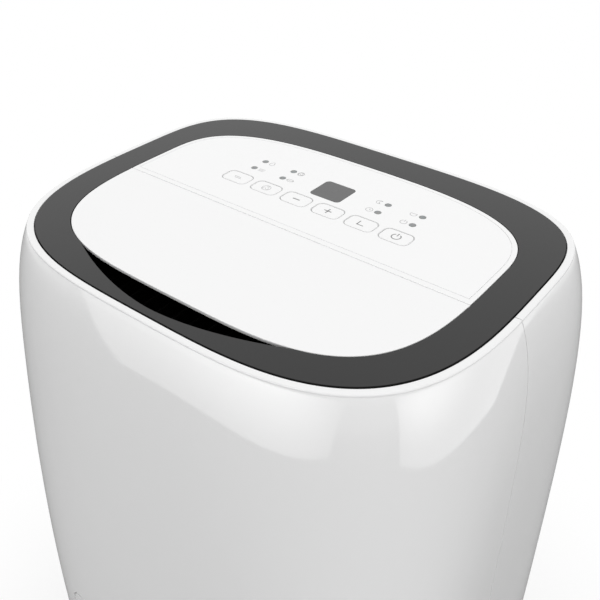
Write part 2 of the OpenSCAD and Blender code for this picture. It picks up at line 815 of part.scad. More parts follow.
module intake_grille() {
  slot_step = 11;
  bar = 5.2;
  edge = 9;
  rib_x = [-52, 0, 52];
  color(white) {
    intersection() {
      casing_patch(grille_z0, grille_z1, 8, 150, 30, 16);
      union() {
        difference() {
          y_plate(intake_plan(0), 100, 160);
          block(-grille_hw + edge, grille_hw - edge, 99, 161, grille_z0 + edge,
            grille_z1 - edge);
        }
        intersection() {
          y_plate(intake_plan(-1), 99, 161);
          union() {
            for (z = [grille_z0 + 14.5:slot_step:grille_z1 - 12])
              block(-grille_hw, grille_hw, 100, 160, z, z + bar);
            for (x = rib_x) block(x - 2, x + 2, 100, 160, grille_z0, grille_z1);
          }
        }
      }
    }
    intersection() {
      casing_patch(grille_z0 + 8, grille_z1 - 8, 4, 120, 60, 4, 20);
      for (x = rib_x) for (z = [266, 438])
        block(x - 2, x + 2, filter_y1, 160, z - 7, z + 7);
    }
  }
}

module air_filter() {
  color(mid_grey) {
    difference() {
      block(-96, 96, filter_y0, filter_y1, 256, 448);
      for (ix = [0:2]) for (iz = [0:2])
        block(-92 + 62 * ix, -92 + 62 * ix + 60, filter_y0 - over, filter_y1 + over,
          260 + 62 * iz, 320 + 62 * iz);
    }
    block(-93, 93, filter_y0 + 1.4, filter_y0 + 2, 259, 445);
  }
}

// ---------------------------------------------------------------- water tank

module water_tank() {
  mid_y = (tank_y0 + tank_y1) / 2;
  d = tank_y1 - tank_y0;
  color(clear_blue) difference() {
    rounded_slab(tank_w, d, 14, tank_z, tank_z + tank_h, [0, mid_y]);
    rounded_slab(tank_w - 2 * tank_wall, d - 2 * tank_wall, 11.5, tank_z + tank_wall,
      tank_z + tank_h + over, [0, mid_y]);
    for (side = [-1, 1]) translate([side * tank_w / 2, 0, 0])
      x_rod(3 + run_gap, handle_y, handle_z, -tank_wall - over, tank_wall + over);
  }
}

module tank_front() {
  grip_w = 92;
  grip_h = 22;
  grip_z = 168;
  color(white) {
    difference() {
      union() {
        intersection() {
          casing_patch(shell_z + 0.6, bay_top, 8, -40, -140, 24);
          y_plate(doorway(bay_hw - front_gap, shell_z, bay_top - front_gap,
            bay_corner - front_gap), -200, -60);
        }
        intersection() {
          casing_patch(60, 186, 5, -60, -120, 8, fill);
          union() {
            for (x = [-62, 62]) block(x - 1.5, x + 1.5, -160, tank_y0, 64, 182);
            y_plate([for (p = rounded(grip_w + 5, grip_h + 5, 11)) [p.x, p.y + grip_z]],
              -160, tank_y0);
          }
        }
      }
      y_plate([for (p = rounded(grip_w, grip_h, 9)) [p.x, p.y + grip_z]],
        -160, tank_y0 - 2.5);
      block(-6, 6, -160, -125, 70, 146);
    }
  }
}

module level_window() {
  color(clear_blue) {
    intersection() {
      casing_patch(70.2, 145.8, 4, -84, -96, 2);
      block(-5.8, 5.8, -160, -120, 70.2, 145.8);
    }
    intersection() {
      casing_patch(60, 186, 5, -84, -96, 2, fill);
      block(-3, 3, -160, tank_y0, 74, 142);
    }
  }
}

module tank_lid() {
  z0 = tank_z + tank_h;
  mid_y = (tank_y0 + tank_y1) / 2;
  color(white) {
    difference() {
      rounded_slab(tank_w, tank_y1 - tank_y0, 14, z0, z0 + lid_t, [0, mid_y]);
      translate([0, float_y, z0 - over]) cylinder(r = 12, h = lid_t + 2 * over);
      rounded_slab(44, 26, 8, z0 - over, z0 + lid_t + over, [-78, -28]);
    }
    difference() {
      for (y = [float_y - 10, float_y + 7])
        block(float_x - 6, float_x + 6, y, y + 3, float_z - 6, z0 + 0.1);
      y_rod(2 + run_gap, float_x, float_z, float_y - 12, float_y + 12);
    }
  }
}

module tank_handle() {
  hx = tank_w / 2;
  bar_y = handle_y - handle_arm;
  bar_z = handle_z + handle_rise;
  color(mid_grey) {
    for (side = [-1, 1]) {
      translate([side * hx, 0, 0]) x_rod(3, handle_y, handle_z, side > 0 ? -2 : -4.4,
        side > 0 ? 4.4 : 2);
      translate([side * (hx + 2.9), 0, 0]) hull() {
        x_rod(5, handle_y, handle_z, -1.5, 1.5, $fn = 32);
        x_rod(3.5, bar_y, bar_z, -1.5, 1.5, $fn = 32);
      }
    }
    x_rod(3.5, bar_y, bar_z, -hx - 4.4, hx + 4.4);
  }
}

module tank_float() {
  drop = [-44, -20];
  color(white) {
    y_rod(2, float_x, float_z, float_y - 11, float_y + 11);
    translate([float_x, float_y, float_z]) rotate([0, atan2(-drop[1], drop[0]), 0])
      block(0, norm(drop), -4, 4, -1.5, 1.5);
    translate([float_x + drop[0] - 6, float_y, float_z + drop[1] - 12])
      rounded_slab(34, 26, 6, 0, 18);
  }
}

// ---------------------------------------------------------------- base and castors

castor_at = [[-castor_x, castor_front_y], [castor_x, castor_front_y],
  [-castor_x, castor_rear_y], [castor_x, castor_rear_y]];
screw_at = [[-60, 20], [60, 20], [0, 116], [0, -20], [-140, 0], [140, 0]];

module base_pan() {
  skirt_z = 22;
  foot = side_out(shell_z) - 1;
  color(light_grey) difference() {
    union() {
      slab(body_plan(foot, shell_z), skirt_z, shell_z);
      slab(body_plan(foot - wall + 0.6, shell_z), shell_z - 0.1, shell_z + 1.5);
      for (p = castor_at) translate([p.x, p.y, shell_z]) cylinder(r = 9, h = stem_top - shell_z + 2.5);
      for (x = [-68, 60]) block(x, x + 8, tank_y0 + 2, tank_y1, shell_z + 1, tank_z - 0.3);
    }
    slab(body_plan(foot - 4, shell_z), skirt_z - over, shell_z - 2);
    for (p = castor_at) translate([p.x, p.y, 0]) cylinder(r = stem_r + run_gap, h = stem_top + 0.5);
    for (p = screw_at) translate([p.x, p.y, 0]) cylinder(r = 2, h = shell_z + 3);
  }
}

module castor_fork(p) {
  cheek = wheel_w / 2 + 0.8;
  axle = [p.x, p.y + castor_trail, wheel_r];
  color(mid_grey) {
    translate([p.x, p.y, fork_z]) cylinder(r = stem_r, h = stem_top - fork_z);
    translate([p.x, p.y, fork_z - 0.4]) cylinder(r = 12, h = shell_z - 2.4 - fork_z);
    for (side = [-1, 1]) translate([p.x + side * (cheek + 1.2), 0, 0]) hull() {
      x_rod(5.5, axle.y, axle.z, -1.2, 1.2, $fn = 32);
      block(-1.2, 1.2, p.y - 7, p.y + 9, fork_z - 0.4, fork_z + 1);
    }
    x_rod(axle_r, axle.y, axle.z, p.x - cheek - 1, p.x + cheek + 1);
  }
}

module castor_wheel(p) {
  half = wheel_w / 2;
  side = [[axle_r + run_gap, -half], [6, -half], [7, 1.5 - half], [wheel_r - 4, 1.5 - half],
    [wheel_r - 3, -half], [wheel_r - 1, -half], [wheel_r, 1 - half]];
  color(jet) translate([p.x, p.y + castor_trail, wheel_r]) rotate([0, 90, 0])
    rotate_extrude() polygon(concat(side, [for (i = [len(side) - 1:-1:0])
      [side[i].x, -side[i].y]]));
}

module castor_fork_fl() { castor_fork(castor_at[0]); }
module castor_fork_fr() { castor_fork(castor_at[1]); }
module castor_fork_rl() { castor_fork(castor_at[2]); }
module castor_fork_rr() { castor_fork(castor_at[3]); }
module castor_wheel_fl() { castor_wheel(castor_at[0]); }
module castor_wheel_fr() { castor_wheel(castor_at[1]); }
module castor_wheel_rl() { castor_wheel(castor_at[2]); }
module castor_wheel_rr() { castor_wheel(castor_at[3]); }

module screws() {
  color(steel) for (p = screw_at) translate([p.x, p.y, shell_z - 2]) {
    difference() {
      translate([0, 0, -2.4]) cylinder(r = 3.6, h = 2.4);
      translate([-2.4, -0.5, -3.4]) cube([4.8, 1, 2]);
      translate([-0.5, -2.4, -3.4]) cube([1, 4.8, 2]);
    }
    cylinder(r = 1.9, h = 3.4);
  }
}

base_pan();
front_shell();
rear_shell();
top_deck();
trim_ring();
outlet_flap();
control_panel();
control_overlay();
key_mode();
key_fan();
key_minus();
key_plus();
key_timer();
key_power();
display_window();
indicator_lights();
control_board();
outlet_grille();
outlet_duct();
fan_scroll();
fan_impeller();
fan_shaft();
fan_motor();
partition();
coil_housing();
evaporator();
condenser();
drip_tray();
drain_cap();
compressor();
compressor_feet();
refrigerant_tubing();
filter_drier();
electronics_box();
capacitor();
humidity_sensor();
tank_switch();
cord_gland();
intake_grille();
air_filter();
water_tank();
tank_front();
level_window();
tank_lid();
tank_handle();
tank_float();
castor_fork_fl();
castor_fork_fr();
castor_fork_rl();
castor_fork_rr();
castor_wheel_fl();
castor_wheel_fr();
castor_wheel_rl();
castor_wheel_rr();
screws();
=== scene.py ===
import json
import math

import bmesh
import bpy
from mathutils import Euler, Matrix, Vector


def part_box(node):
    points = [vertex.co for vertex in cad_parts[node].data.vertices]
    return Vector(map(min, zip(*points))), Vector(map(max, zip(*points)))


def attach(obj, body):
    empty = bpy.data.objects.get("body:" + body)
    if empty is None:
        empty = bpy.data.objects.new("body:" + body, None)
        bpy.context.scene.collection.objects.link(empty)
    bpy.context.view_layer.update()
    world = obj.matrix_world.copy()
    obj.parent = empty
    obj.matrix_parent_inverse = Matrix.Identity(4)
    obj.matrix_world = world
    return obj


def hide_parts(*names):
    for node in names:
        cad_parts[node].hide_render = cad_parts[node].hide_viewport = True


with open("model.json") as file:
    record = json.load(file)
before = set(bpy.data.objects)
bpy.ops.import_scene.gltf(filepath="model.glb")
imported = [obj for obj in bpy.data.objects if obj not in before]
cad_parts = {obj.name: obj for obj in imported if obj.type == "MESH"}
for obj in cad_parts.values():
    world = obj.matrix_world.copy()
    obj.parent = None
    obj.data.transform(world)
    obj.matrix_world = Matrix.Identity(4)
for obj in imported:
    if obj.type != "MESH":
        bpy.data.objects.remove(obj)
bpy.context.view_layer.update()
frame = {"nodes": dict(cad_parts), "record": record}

# Portable dehumidifier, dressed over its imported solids. Metres, +X right, +Y back, +Z up.

scene = bpy.context.scene
record = frame["record"]
node_body = {n: b for b, nodes in record["behaviour"]["bodies"].items() for n in nodes}


def mm(value):
    """Millimetres as metres."""
    return value / 1000


# ------------------------------------------------------------------ sizes

ring_low, ring_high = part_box("trim_ring")
shell_low, shell_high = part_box("front_shell")
TOP_Z = ring_high.z
SEAT_Z = ring_low.z
LIP_Z = shell_high.z
SHELL_Z = shell_low.z

# The body's outline: two half superellipses that meet on its widest line
WIDEST_Y = mm(28)
RING_HALF = ring_high.x
RING_FRONT = WIDEST_Y - ring_low.y
RING_REAR = ring_high.y - WIDEST_Y
RING_SQUARE = (3.45, 3.6)
SQUARE_GROWTH = (3, 2)           # how much squarer the corners are at the foot
GROWTH_LEN = (mm(245), mm(131))
BAND_FRONT, BAND_SIDE, BAND_REAR = mm(20), mm(22), mm(25.5)
PANEL_SQUARE = (3.75, 3.0)
DEPTH_GAIN = 0.95      # growth of the body to front and back for each mm to the sides

# The side's curve below the lip
LIP_W = mm(4.6)
LIP_ROUND = mm(0.8)
RING_GAP = mm(0.8)
WALL = mm(3)
BULGE, BULGE_LEN = mm(13.4), mm(30)
TUCK, TUCK_LEN = mm(10), mm(45)
SEAM_Y, SEAM_GAP = mm(-2.8), mm(0.5)

# The white top: flap, control panel, film, keys, display and lights
FLAP_AXIS_Y = mm(-9.3)
SPLIT_Y = mm(-7.4)
EDGE_GAP = mm(0.45)
FLAP_T = mm(2.2)
OVERLAY_INSET, OVERLAY_T = mm(3.5), mm(0.5)
KEY_PITCH, KEY_Y = mm(26), mm(27)
KEY_W, KEY_D, KEY_R = mm(20.4), mm(13.4), mm(4)
KEY_GAP = mm(0.3)
DISPLAY_W, DISPLAY_D, DISPLAY_Y = mm(24), mm(22.4), mm(50.5)
LED_R = mm(2.3)
LED_COLUMNS = [-2.52, -1.52, 1.52, 2.52]      # in key pitches from the middle
LED_ROWS = [mm(45.3), mm(57.7)]
KEY_NAMES = ["key_mode", "key_fan", "key_minus", "key_plus", "key_timer", "key_power"]
MERGE = mm(0.002)      # points closer than this are one


def signed_pow(value, power):
    return math.copysign(abs(value) ** power, value)


def outline_point(half_width, front, rear, square, angle):
    """Point on an outline that is deeper in front of its widest line than behind."""
    s, c = math.sin(angle), math.cos(angle)
    e = 2 / (square[0] if s < 0 else square[1])
    return half_width * signed_pow(c, e), WIDEST_Y + (front if s < 0 else rear) * signed_pow(s, e)


def square_at(z):
    """Squareness of the body's front and rear corners at this height."""
    return [square + growth * (1 - math.exp(-((LIP_Z - z) / length) ** 2))
            for square, growth, length in zip(RING_SQUARE, SQUARE_GROWTH, GROWTH_LEN)]


def body_point(out, z, angle):
    """Point on the body's outline at this height, moved outwards by some distance."""
    return outline_point(RING_HALF + out, RING_FRONT + DEPTH_GAIN * out,
                         RING_REAR + DEPTH_GAIN * out, square_at(z), angle)


def panel_point(inset, angle):
    """Point on the white top's outline moved inwards by some distance."""
    return outline_point(RING_HALF - BAND_SIDE - inset, RING_FRONT - BAND_FRONT - inset,
                         RING_REAR - BAND_REAR - inset, PANEL_SQUARE, angle)


def side_out(z):
    """How far the body's side stands outside the ring's outline at this height."""
    return (LIP_W + BULGE * (1 - math.exp((z - LIP_Z) / BULGE_LEN))
            - TUCK * math.exp((SHELL_Z - z) / TUCK_LEN))


def face_y(x, z, behind, depth=0):
    """Where the body's front or back face, or a layer under it, stands at X and Z."""
    out = side_out(z) - depth
    reach = (RING_REAR if behind else -RING_FRONT) + (1 if behind else -1) * DEPTH_GAIN * out
    square = square_at(z)[1 if behind else 0]
    return WIDEST_Y + reach * (1 - (abs(x) / (RING_HALF + out)) ** square) ** (1 / square)


def seam_angle(out, z, y):
    """Angle, forward of the widest line, at which an outline crosses the side seam."""
    reach = RING_FRONT + DEPTH_GAIN * out
    return math.asin(((WIDEST_Y - y) / reach) ** (square_at(z)[0] / 2))


# ------------------------------------------------------------------ modelling tools

bpy.ops.object.select_all(action="DESELECT")


def only(obj):
    """Select just this object, in object mode."""
    if bpy.context.object and bpy.context.object.mode != "OBJECT":
        bpy.ops.object.mode_set(mode="OBJECT")
    bpy.ops.object.select_all(action="DESELECT")
    obj.select_set(True)
    bpy.context.view_layer.objects.active = obj


def edit(obj, kind="FACE"):
    """Open this object in edit mode with nothing selected."""
    only(obj)
    bpy.ops.object.mode_set(mode="EDIT")
    bpy.ops.mesh.select_mode(type=kind)
    bpy.ops.mesh.select_all(action="DESELECT")


def pick(obj, kind, test):
    """In edit mode, select the faces, edges or vertices that pass the test."""
    mesh = bmesh.from_edit_mesh(obj.data)
    for item in {"FACE": mesh.faces, "EDGE": mesh.edges, "VERT": mesh.verts}[kind]:
        if test(item):
            item.select_set(True)
    mesh.select_flush_mode()
    bmesh.update_edit_mesh(obj.data)


def done(obj, name=None):
    """Leave edit mode and put the object's place into its mesh."""
    only(obj)
    bpy.ops.object.transform_apply(location=True, rotation=True, scale=True)
    if name:
        obj.name = obj.data.name = name
    return obj


def modified(obj, kind, **settings):
    """Add a modifier with these settings and apply it."""
    only(obj)
    modifier = obj.modifiers.new(kind, kind)
    for key, value in settings.items():
        setattr(modifier, key, value)
    bpy.ops.object.modifier_apply(modifier=modifier.name)
    return obj


def broken_edges(obj, width, segments=2, angle=35):
    """Round every edge sharper than this angle."""
    return modified(obj, "BEVEL", width=width, segments=segments, limit_method="ANGLE",
                    angle_limit=math.radians(angle), use_clamp_overlap=True)


SHARP = 32             # degrees between faces from which an edge counts as sharp


def shaded(obj):
    """Smooth shading between the sharp edges, with large flat faces kept flat."""
    only(obj)
    bpy.ops.object.shade_smooth_by_angle(angle=math.radians(SHARP))
    modified(obj, "WEIGHTED_NORMAL", keep_sharp=True, weight=50)


def joined(name, pieces):
    """Make one object of several."""
    only(pieces[0])
    for piece in pieces:
        piece.select_set(True)
    if len(pieces) > 1:
        bpy.ops.object.join()
    pieces[0].name = pieces[0].data.name = name
    return pieces[0]


def combined(obj, tools, operation):
    """Cut, add or keep what is common with the tools, which are used up."""
    tool = joined("tool", tools)
    modified(obj, "BOOLEAN", object=tool, operation=operation, solver="EXACT",
             use_self=len(tools) > 1)
    bpy.data.objects.remove(tool)
    return obj


def cut(obj, *tools):
    """Take the tools' shapes out of the object."""
    return combined(obj, list(tools), "DIFFERENCE")


def block(name, low, high, edge=0, segments=2):
    """Rectangular piece between two corners, its edges broken."""
    low, high = Vector(low), Vector(high)
    bpy.ops.mesh.primitive_cube_add(size=1, location=(low + high) / 2)
    obj = bpy.context.object
    obj.scale = high - low
    done(obj, name)
    return broken_edges(obj, edge, segments) if edge else obj


def bar(name, low, high, axis, corner, edge=0, steps=8):
    """Block whose four edges along one axis are rounded, and the rest broken."""
    obj = block(name, low, high)
    edit(obj, "EDGE")
    pick(obj, "EDGE", lambda e: abs((e.verts[0].co - e.verts[1].co).normalized()[axis]) > 0.99)
    bpy.ops.mesh.bevel(offset=corner, segments=steps, affect="EDGES")
    done(obj)
    return broken_edges(obj, edge, 3, 60) if edge else obj


def rod(name, start, end, radius, edge=0, steps=48):
    """Round bar between two points."""
    start, end = Vector(start), Vector(end)
    turn = (end - start).to_track_quat("Z", "Y").to_euler()
    bpy.ops.mesh.primitive_cylinder_add(vertices=steps, radius=radius, rotation=turn,
                                        depth=(end - start).length, location=(start + end) / 2)
    done(bpy.context.object, name)
    return broken_edges(bpy.context.object, edge, 2, 60) if edge else bpy.context.object


def loop(name, points, filled=False):
    """Closed ring of edges through these points, from a circle with as many corners."""
    bpy.ops.mesh.primitive_circle_add(vertices=len(points),
                                      fill_type="NGON" if filled else "NOTHING")
    obj = bpy.context.object
    obj.name = obj.data.name = name
    for vertex, point in zip(obj.data.vertices, points):
        vertex.co = point
    return obj


def plate(name, points, low, high):
    """Flat plate with this outline, anticlockwise as seen from above."""
    obj = loop(name, [(x, y, low) for x, y in points], filled=True)
    edit(obj)
    bpy.ops.mesh.select_all(action="SELECT")
    bpy.ops.mesh.extrude_region_move(TRANSFORM_OT_translate={"value": (0, 0, high - low)})
    bpy.ops.mesh.select_all(action="SELECT")
    bpy.ops.mesh.normals_make_consistent(inside=False)
    return done(obj)


def sheet_of(name, point, low, high, steps=288):
    """Flat plate with a curved outline, point(angle) giving X and Y."""
    return plate(name, [point(2 * math.pi * i / steps) for i in range(steps)], low, high)


def split(obj, point, normal):
    """Keep the part of a solid behind a plane, and close the cut."""
    edit(obj)
    bpy.ops.mesh.select_all(action="SELECT")
    bpy.ops.mesh.bisect(plane_co=point, plane_no=normal, use_fill=True, clear_outer=True)
    return done(obj)


def turned(name, profile, centre, axis, steps=64):
    """Solid of revolution: a closed profile of (radius, along) spun round an axis."""
    centre, axis = Vector(centre), Vector(axis)
    across = axis.orthogonal().normalized()
    obj = loop(name, [centre + across * r + axis * a for r, a in profile])
    edit(obj, "VERT")
    bpy.ops.mesh.select_all(action="SELECT")
    bpy.ops.mesh.spin(steps=steps, angle=2 * math.pi, center=centre, axis=axis)
    bpy.ops.mesh.select_all(action="SELECT")
    bpy.ops.mesh.remove_doubles(threshold=MERGE)
    bpy.ops.mesh.select_all(action="SELECT")
    bpy.ops.mesh.normals_make_consistent(inside=False)
    return done(obj)


def swept_wall(name, outer, inner, turn, columns):
    """Solid wall round the body. Each path is a list of (distance out, height), and
    turn(out, z, t) gives the angle on the outline as t goes from 0 to 1."""
    path = outer + inner[::-1]
    rows = len(path)
    bpy.ops.mesh.primitive_grid_add(x_subdivisions=columns, y_subdivisions=rows, size=2)
    obj = bpy.context.object
    obj.name = obj.data.name = name
    for vertex in obj.data.vertices:
        t = (vertex.co.x + 1) / 2
        out, z = path[round((vertex.co.y + 1) / 2 * rows) % rows]
        x, y = body_point(out, z, turn(out, z, t))
        vertex.co = (x, y, z)
    edit(obj, "VERT")
    bpy.ops.mesh.select_all(action="SELECT")
    bpy.ops.mesh.remove_doubles(threshold=MERGE)
    bpy.ops.mesh.select_all(action="SELECT")
    bpy.ops.mesh.fill_holes(sides=0)
    bpy.ops.mesh.select_all(action="SELECT")
    bpy.ops.mesh.normals_make_consistent(inside=False)
    return done(obj)


def refined(name, edge, segments=2):
    """Copy of a CAD node with its triangles merged and its sharp edges broken."""
    mesh = frame["nodes"][name].data.copy()
    obj = bpy.data.objects.new(name + "_finished", mesh)
    scene.collection.objects.link(obj)
    edit(obj, "VERT")
    bpy.ops.mesh.select_all(action="SELECT")
    bpy.ops.mesh.remove_doubles(threshold=MERGE)
    bpy.ops.mesh.select_all(action="SELECT")
    bpy.ops.mesh.dissolve_limited(angle_limit=math.radians(0.3))
    done(obj)
    if edge:
        broken_edges(obj, edge, segments, SHARP)
    return obj


def fitted(obj, material, *nodes, body=None):
    """Give a finished piece its material and fix it where its CAD nodes belong."""
    shaded(obj)
    obj.data.materials.clear()
    obj.data.materials.append(material)
    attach(obj, body or node_body[nodes[0]])
    if nodes:
        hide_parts(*nodes)
    return obj


# ------------------------------------------------------------------ materials


def linear(hex_colour):
    """sRGB hex colour as linear RGBA."""
    parts = [int(hex_colour[i:i + 2], 16) / 255 for i in (1, 3, 5)]
    return [p / 12.92 if p <= 0.04045 else ((p + 0.055) / 1.055) ** 2.4 for p in parts] + [1]


def shader_node(tree, kind, links=(), **settings):
    """Add a shader node with its input values, properties and incoming links."""
    made = tree.nodes.new("ShaderNode" + kind)
    for key, value in settings.items():
        name = key.replace("_", " ")
        if name in made.inputs:
            made.inputs[name].default_value = value
        else:
            setattr(made, key, value)
    for target, source in dict(links).items():
        tree.links.new(source, made.inputs[target])
    return made


def node(material, kind, links=(), **settings):
    """Add a shader node to a material."""
    return shader_node(material.node_tree, kind, links, **settings)


def plain(name, colour, roughness, ior=1.5, **settings):
    """A material with one Principled shader, and its shader node."""
    material = bpy.data.materials.new(name)
    material.use_nodes = True
    shader = material.node_tree.nodes["Principled BSDF"]
    shader.inputs["Base Color"].default_value = linear(colour)
    shader.inputs["Roughness"].default_value = roughness
    shader.inputs["IOR"].default_value = ior
    for key, value in settings.items():
        shader.inputs[key.replace("_", " ")].default_value = value
    return material, shader


def grained(material, shader, size, height, rough, stretch=(1, 1, 1)):
    """Noise relief of this size and height in metres, and a roughness that follows it."""
    place = node(material, "TexCoord").outputs["Object"]
    if stretch != (1, 1, 1):
        place = node(material, "Mapping", {"Vector": place}, Scale=stretch).outputs["Vector"]
    noise = node(material, "TexNoise", {"Vector": place}, Scale=1 / size, Detail=2)
    bump = node(material, "Bump", {"Height": noise.outputs["Fac"]}, Strength=1.0,
                Distance=height)
    material.node_tree.links.new(bump.outputs["Normal"], shader.inputs["Normal"])
    spread = node(material, "MapRange", {"Value": noise.outputs["Fac"]})
    spread.inputs["To Min"].default_value, spread.inputs["To Max"].default_value = rough
    material.node_tree.links.new(spread.outputs["Result"], shader.inputs["Roughness"])


# Glossy white ABS from a polished mould: clear reflections with a faint orange peel
gloss_abs, s = plain("gloss_white_abs", "#f1f1f1", 0.06, 1.53)
grained(gloss_abs, s, mm(9), mm(0.006), (0.05, 0.08))

# Satin white ABS: an even soft sheen with no clear reflection
satin_abs, s = plain("satin_white_abs", "#f3f3f3", 0.38, 1.53)
grained(satin_abs, s, mm(0.5), mm(0.003), (0.34, 0.42))

# Matt polycarbonate film over the keys: the same white, a little finer and smoother
film, s = plain("matt_polycarbonate_film", "#f4f4f4", 0.3, 1.58)
grained(film, s, mm(0.35), mm(0.002), (0.28, 0.33))

# Key caps in satin ABS
key_abs, s = plain("satin_key_abs", "#f4f4f4", 0.33, 1.53)
grained(key_abs, s, mm(0.4), mm(0.002), (0.3, 0.36))

# Plain white polypropylene inside, softer and slightly waxy
inner_white, s = plain("moulded_white_polypropylene", "#dfe1e1", 0.45, 1.49)
grained(inner_white, s, mm(3), mm(0.01), (0.4, 0.5))

# Anthracite ABS with a fine spark-eroded texture: dark, satin, paler at a low angle
anthracite, s = plain("spark_textured_anthracite_abs", "#181818", 0.3, 1.5)
grained(anthracite, s, mm(0.25), mm(0.006), (0.26, 0.34))

# Black ABS of the outlet grille, matt, so that its vanes stay dark
grille_abs, s = plain("moulded_black_abs", "#040404", 0.5, 1.5)
grained(grille_abs, s, mm(0.6), mm(0.01), (0.45, 0.55))

# Black ABS of the well, half gloss so that its walls catch some light
well_abs, s = plain("half_gloss_black_abs", "#0d0d0e", 0.25, 1.53)
grained(well_abs, s, mm(1.2), mm(0.008), (0.2, 0.3))

# Smoked acrylic display window, printed grey behind
smoked, s = plain("smoked_acrylic", "#5c5c5c", 0.3, 1.49)
grained(smoked, s, mm(2), mm(0.002), (0.28, 0.34))

# Frosted light pipes, grey while unlit
light_pipe, s = plain("frosted_polycarbonate", "#8a8a8a", 0.35, 1.58, Subsurface_Weight=0.1)
grained(light_pipe, s, mm(0.4), mm(0.004), (0.3, 0.4))

# Screen-printed ink of the symbols
ink_dark, s = plain("grey_screen_ink", "#8f8f8f", 0.55)
grained(ink_dark, s, mm(0.3), mm(0.002), (0.5, 0.6))
# The same ink thinned, for the marks that should stay faint, and for the lines round the keys,
# which are painted shade of their gaps
pale_ink_and_gap_shade, s = plain("pale_grey_ink_and_painted_gap_shade", "#bfbfbf", 0.55)
grained(pale_ink_and_gap_shade, s, mm(0.3), mm(0.002), (0.5, 0.6))

# Green solder mask on glass epoxy
board_mask, s = plain("green_solder_mask", "#1f5a38", 0.3)
grained(board_mask, s, mm(1.5), mm(0.01), (0.25, 0.4))

# Grey polypropylene of the ducts and covers
duct_pp, s = plain("grey_polypropylene", "#9a9c9e", 0.5, 1.49)
grained(duct_pp, s, mm(1.5), mm(0.02), (0.45, 0.58))
# Pale grey polypropylene of the base and partition, with a coarse matt grain
base_pp, s = plain("pale_grey_polypropylene", "#b4b6b8", 0.5, 1.49)
grained(base_pp, s, mm(0.8), mm(0.02), (0.45, 0.58))
# Glass-filled polypropylene of the fan, duller where the fibres show
fan_pp, s = plain("glass_filled_polypropylene", "#b9bbbd", 0.55, 1.49)
grained(fan_pp, s, mm(0.7), mm(0.015), (0.5, 0.62))

# Zinc-plated steel: bright with a faint cloudy passivation
zinc, s = plain("zinc_plated_steel", "#b5b8ba", 0.3, Metallic=1.0)
grained(zinc, s, mm(4), mm(0.004), (0.24, 0.38))

# Die-cast aluminium of the motor's end shields
cast, s = plain("die_cast_aluminium", "#a9abad", 0.45, Metallic=1.0)
grained(cast, s, mm(0.8), mm(0.03), (0.4, 0.55))

# Drawn aluminium can of the capacitor
can, s = plain("drawn_aluminium", "#c2c4c6", 0.28, Metallic=1.0)
grained(can, s, mm(1), mm(0.004), (0.22, 0.34), stretch=(1, 1, 0.08))

# A wave texture has a band every pi / 10 / scale metres, which puts the coil's fins 1.13 mm
# apart and the mesh's threads 1 mm
FIN_SCALE, THREAD_SCALE = 277.79, 312.5

# Pressed coil fins with bare aluminium's dull shine
fins, s = plain("pressed_aluminium_fins", "#c3c6c8", 0.38, Metallic=1.0)
place = node(fins, "TexCoord").outputs["Object"]
wave = node(fins, "TexWave", {"Vector": place}, Scale=FIN_SCALE, bands_direction="X")
relief = node(fins, "Bump", {"Height": wave.outputs["Fac"]}, Strength=1.0, Distance=mm(0.5))
fins.node_tree.links.new(relief.outputs["Normal"], s.inputs["Normal"])

# Black stoving enamel on the compressor's welded steel shell
enamel, s = plain("black_stoving_enamel", "#111213", 0.28)
grained(enamel, s, mm(5), mm(0.03), (0.22, 0.36))

# Drawn copper tube, slightly browned
copper, s = plain("drawn_copper", "#b06f45", 0.28, Metallic=1.0)
grained(copper, s, mm(6), mm(0.004), (0.2, 0.4))

# Moulded rubber: black, dry and dull
rubber, s = plain("moulded_rubber", "#1b1b1c", 0.7, 1.52)
grained(rubber, s, mm(0.6), mm(0.02), (0.62, 0.8))
# Hard rubber of the castor treads, a little shinier where it rolls
tread, s = plain("hard_rubber_tread", "#222223", 0.6, 1.52)
grained(tread, s, mm(0.8), mm(0.03), (0.52, 0.7))
# Dark nylon of the castor forks, with a soft sheen
nylon, s = plain("moulded_nylon", "#3a3b3d", 0.4, 1.53)
grained(nylon, s, mm(0.8), mm(0.015), (0.34, 0.46))
# Mid grey polypropylene of the tank's handle, finely grained
handle_pp, s = plain("mid_grey_polypropylene", "#7b7d7f", 0.42, 1.49)
grained(handle_pp, s, mm(0.9), mm(0.015), (0.36, 0.48))

# Clear styrene of the tank: bluish, with a light frosting from its mould
tank_clear, s = plain("clear_styrene", "#d9e8ef", 0.16, 1.57, Transmission_Weight=0.75)
grained(tank_clear, s, mm(2.5), mm(0.02), (0.12, 0.22))
# Clear acrylic of the level window, smoother than the tank
window_clear, s = plain("clear_acrylic", "#c5d3da", 0.08, 1.49, Transmission_Weight=0.6)
grained(window_clear, s, mm(3), mm(0.004), (0.06, 0.1))

# Woven nylon mesh of the filter, with open holes between the threads
mesh_nylon, s = plain("woven_nylon_mesh", "#3f4143", 0.6, 1.53)
place = node(mesh_nylon, "TexCoord").outputs["Object"]
across, upward = [node(mesh_nylon, "TexWave", {"Vector": place}, Scale=THREAD_SCALE,
                       bands_direction=direction) for direction in "XZ"]
thread = node(mesh_nylon, "Math", {0: across.outputs["Fac"], 1: upward.outputs["Fac"]},
              operation="MAXIMUM")
solid = node(mesh_nylon, "Math", {0: thread.outputs["Value"]}, operation="GREATER_THAN")
solid.inputs[1].default_value = 0.55   # the lower, the thicker the threads
weave = node(mesh_nylon, "Bump", {"Height": thread.outputs["Value"]}, Strength=1.0,
             Distance=mm(0.3))
mesh_nylon.node_tree.links.new(weave.outputs["Normal"], s.inputs["Normal"])
mesh_nylon.node_tree.links.new(solid.outputs["Value"], s.inputs["Alpha"])
# Dark grey polypropylene of the filter frame, dull
filter_pp, s = plain("dark_grey_polypropylene", "#4b4d4f", 0.5, 1.49)
grained(filter_pp, s, mm(0.8), mm(0.015), (0.45, 0.56))

# ------------------------------------------------------------------ camera

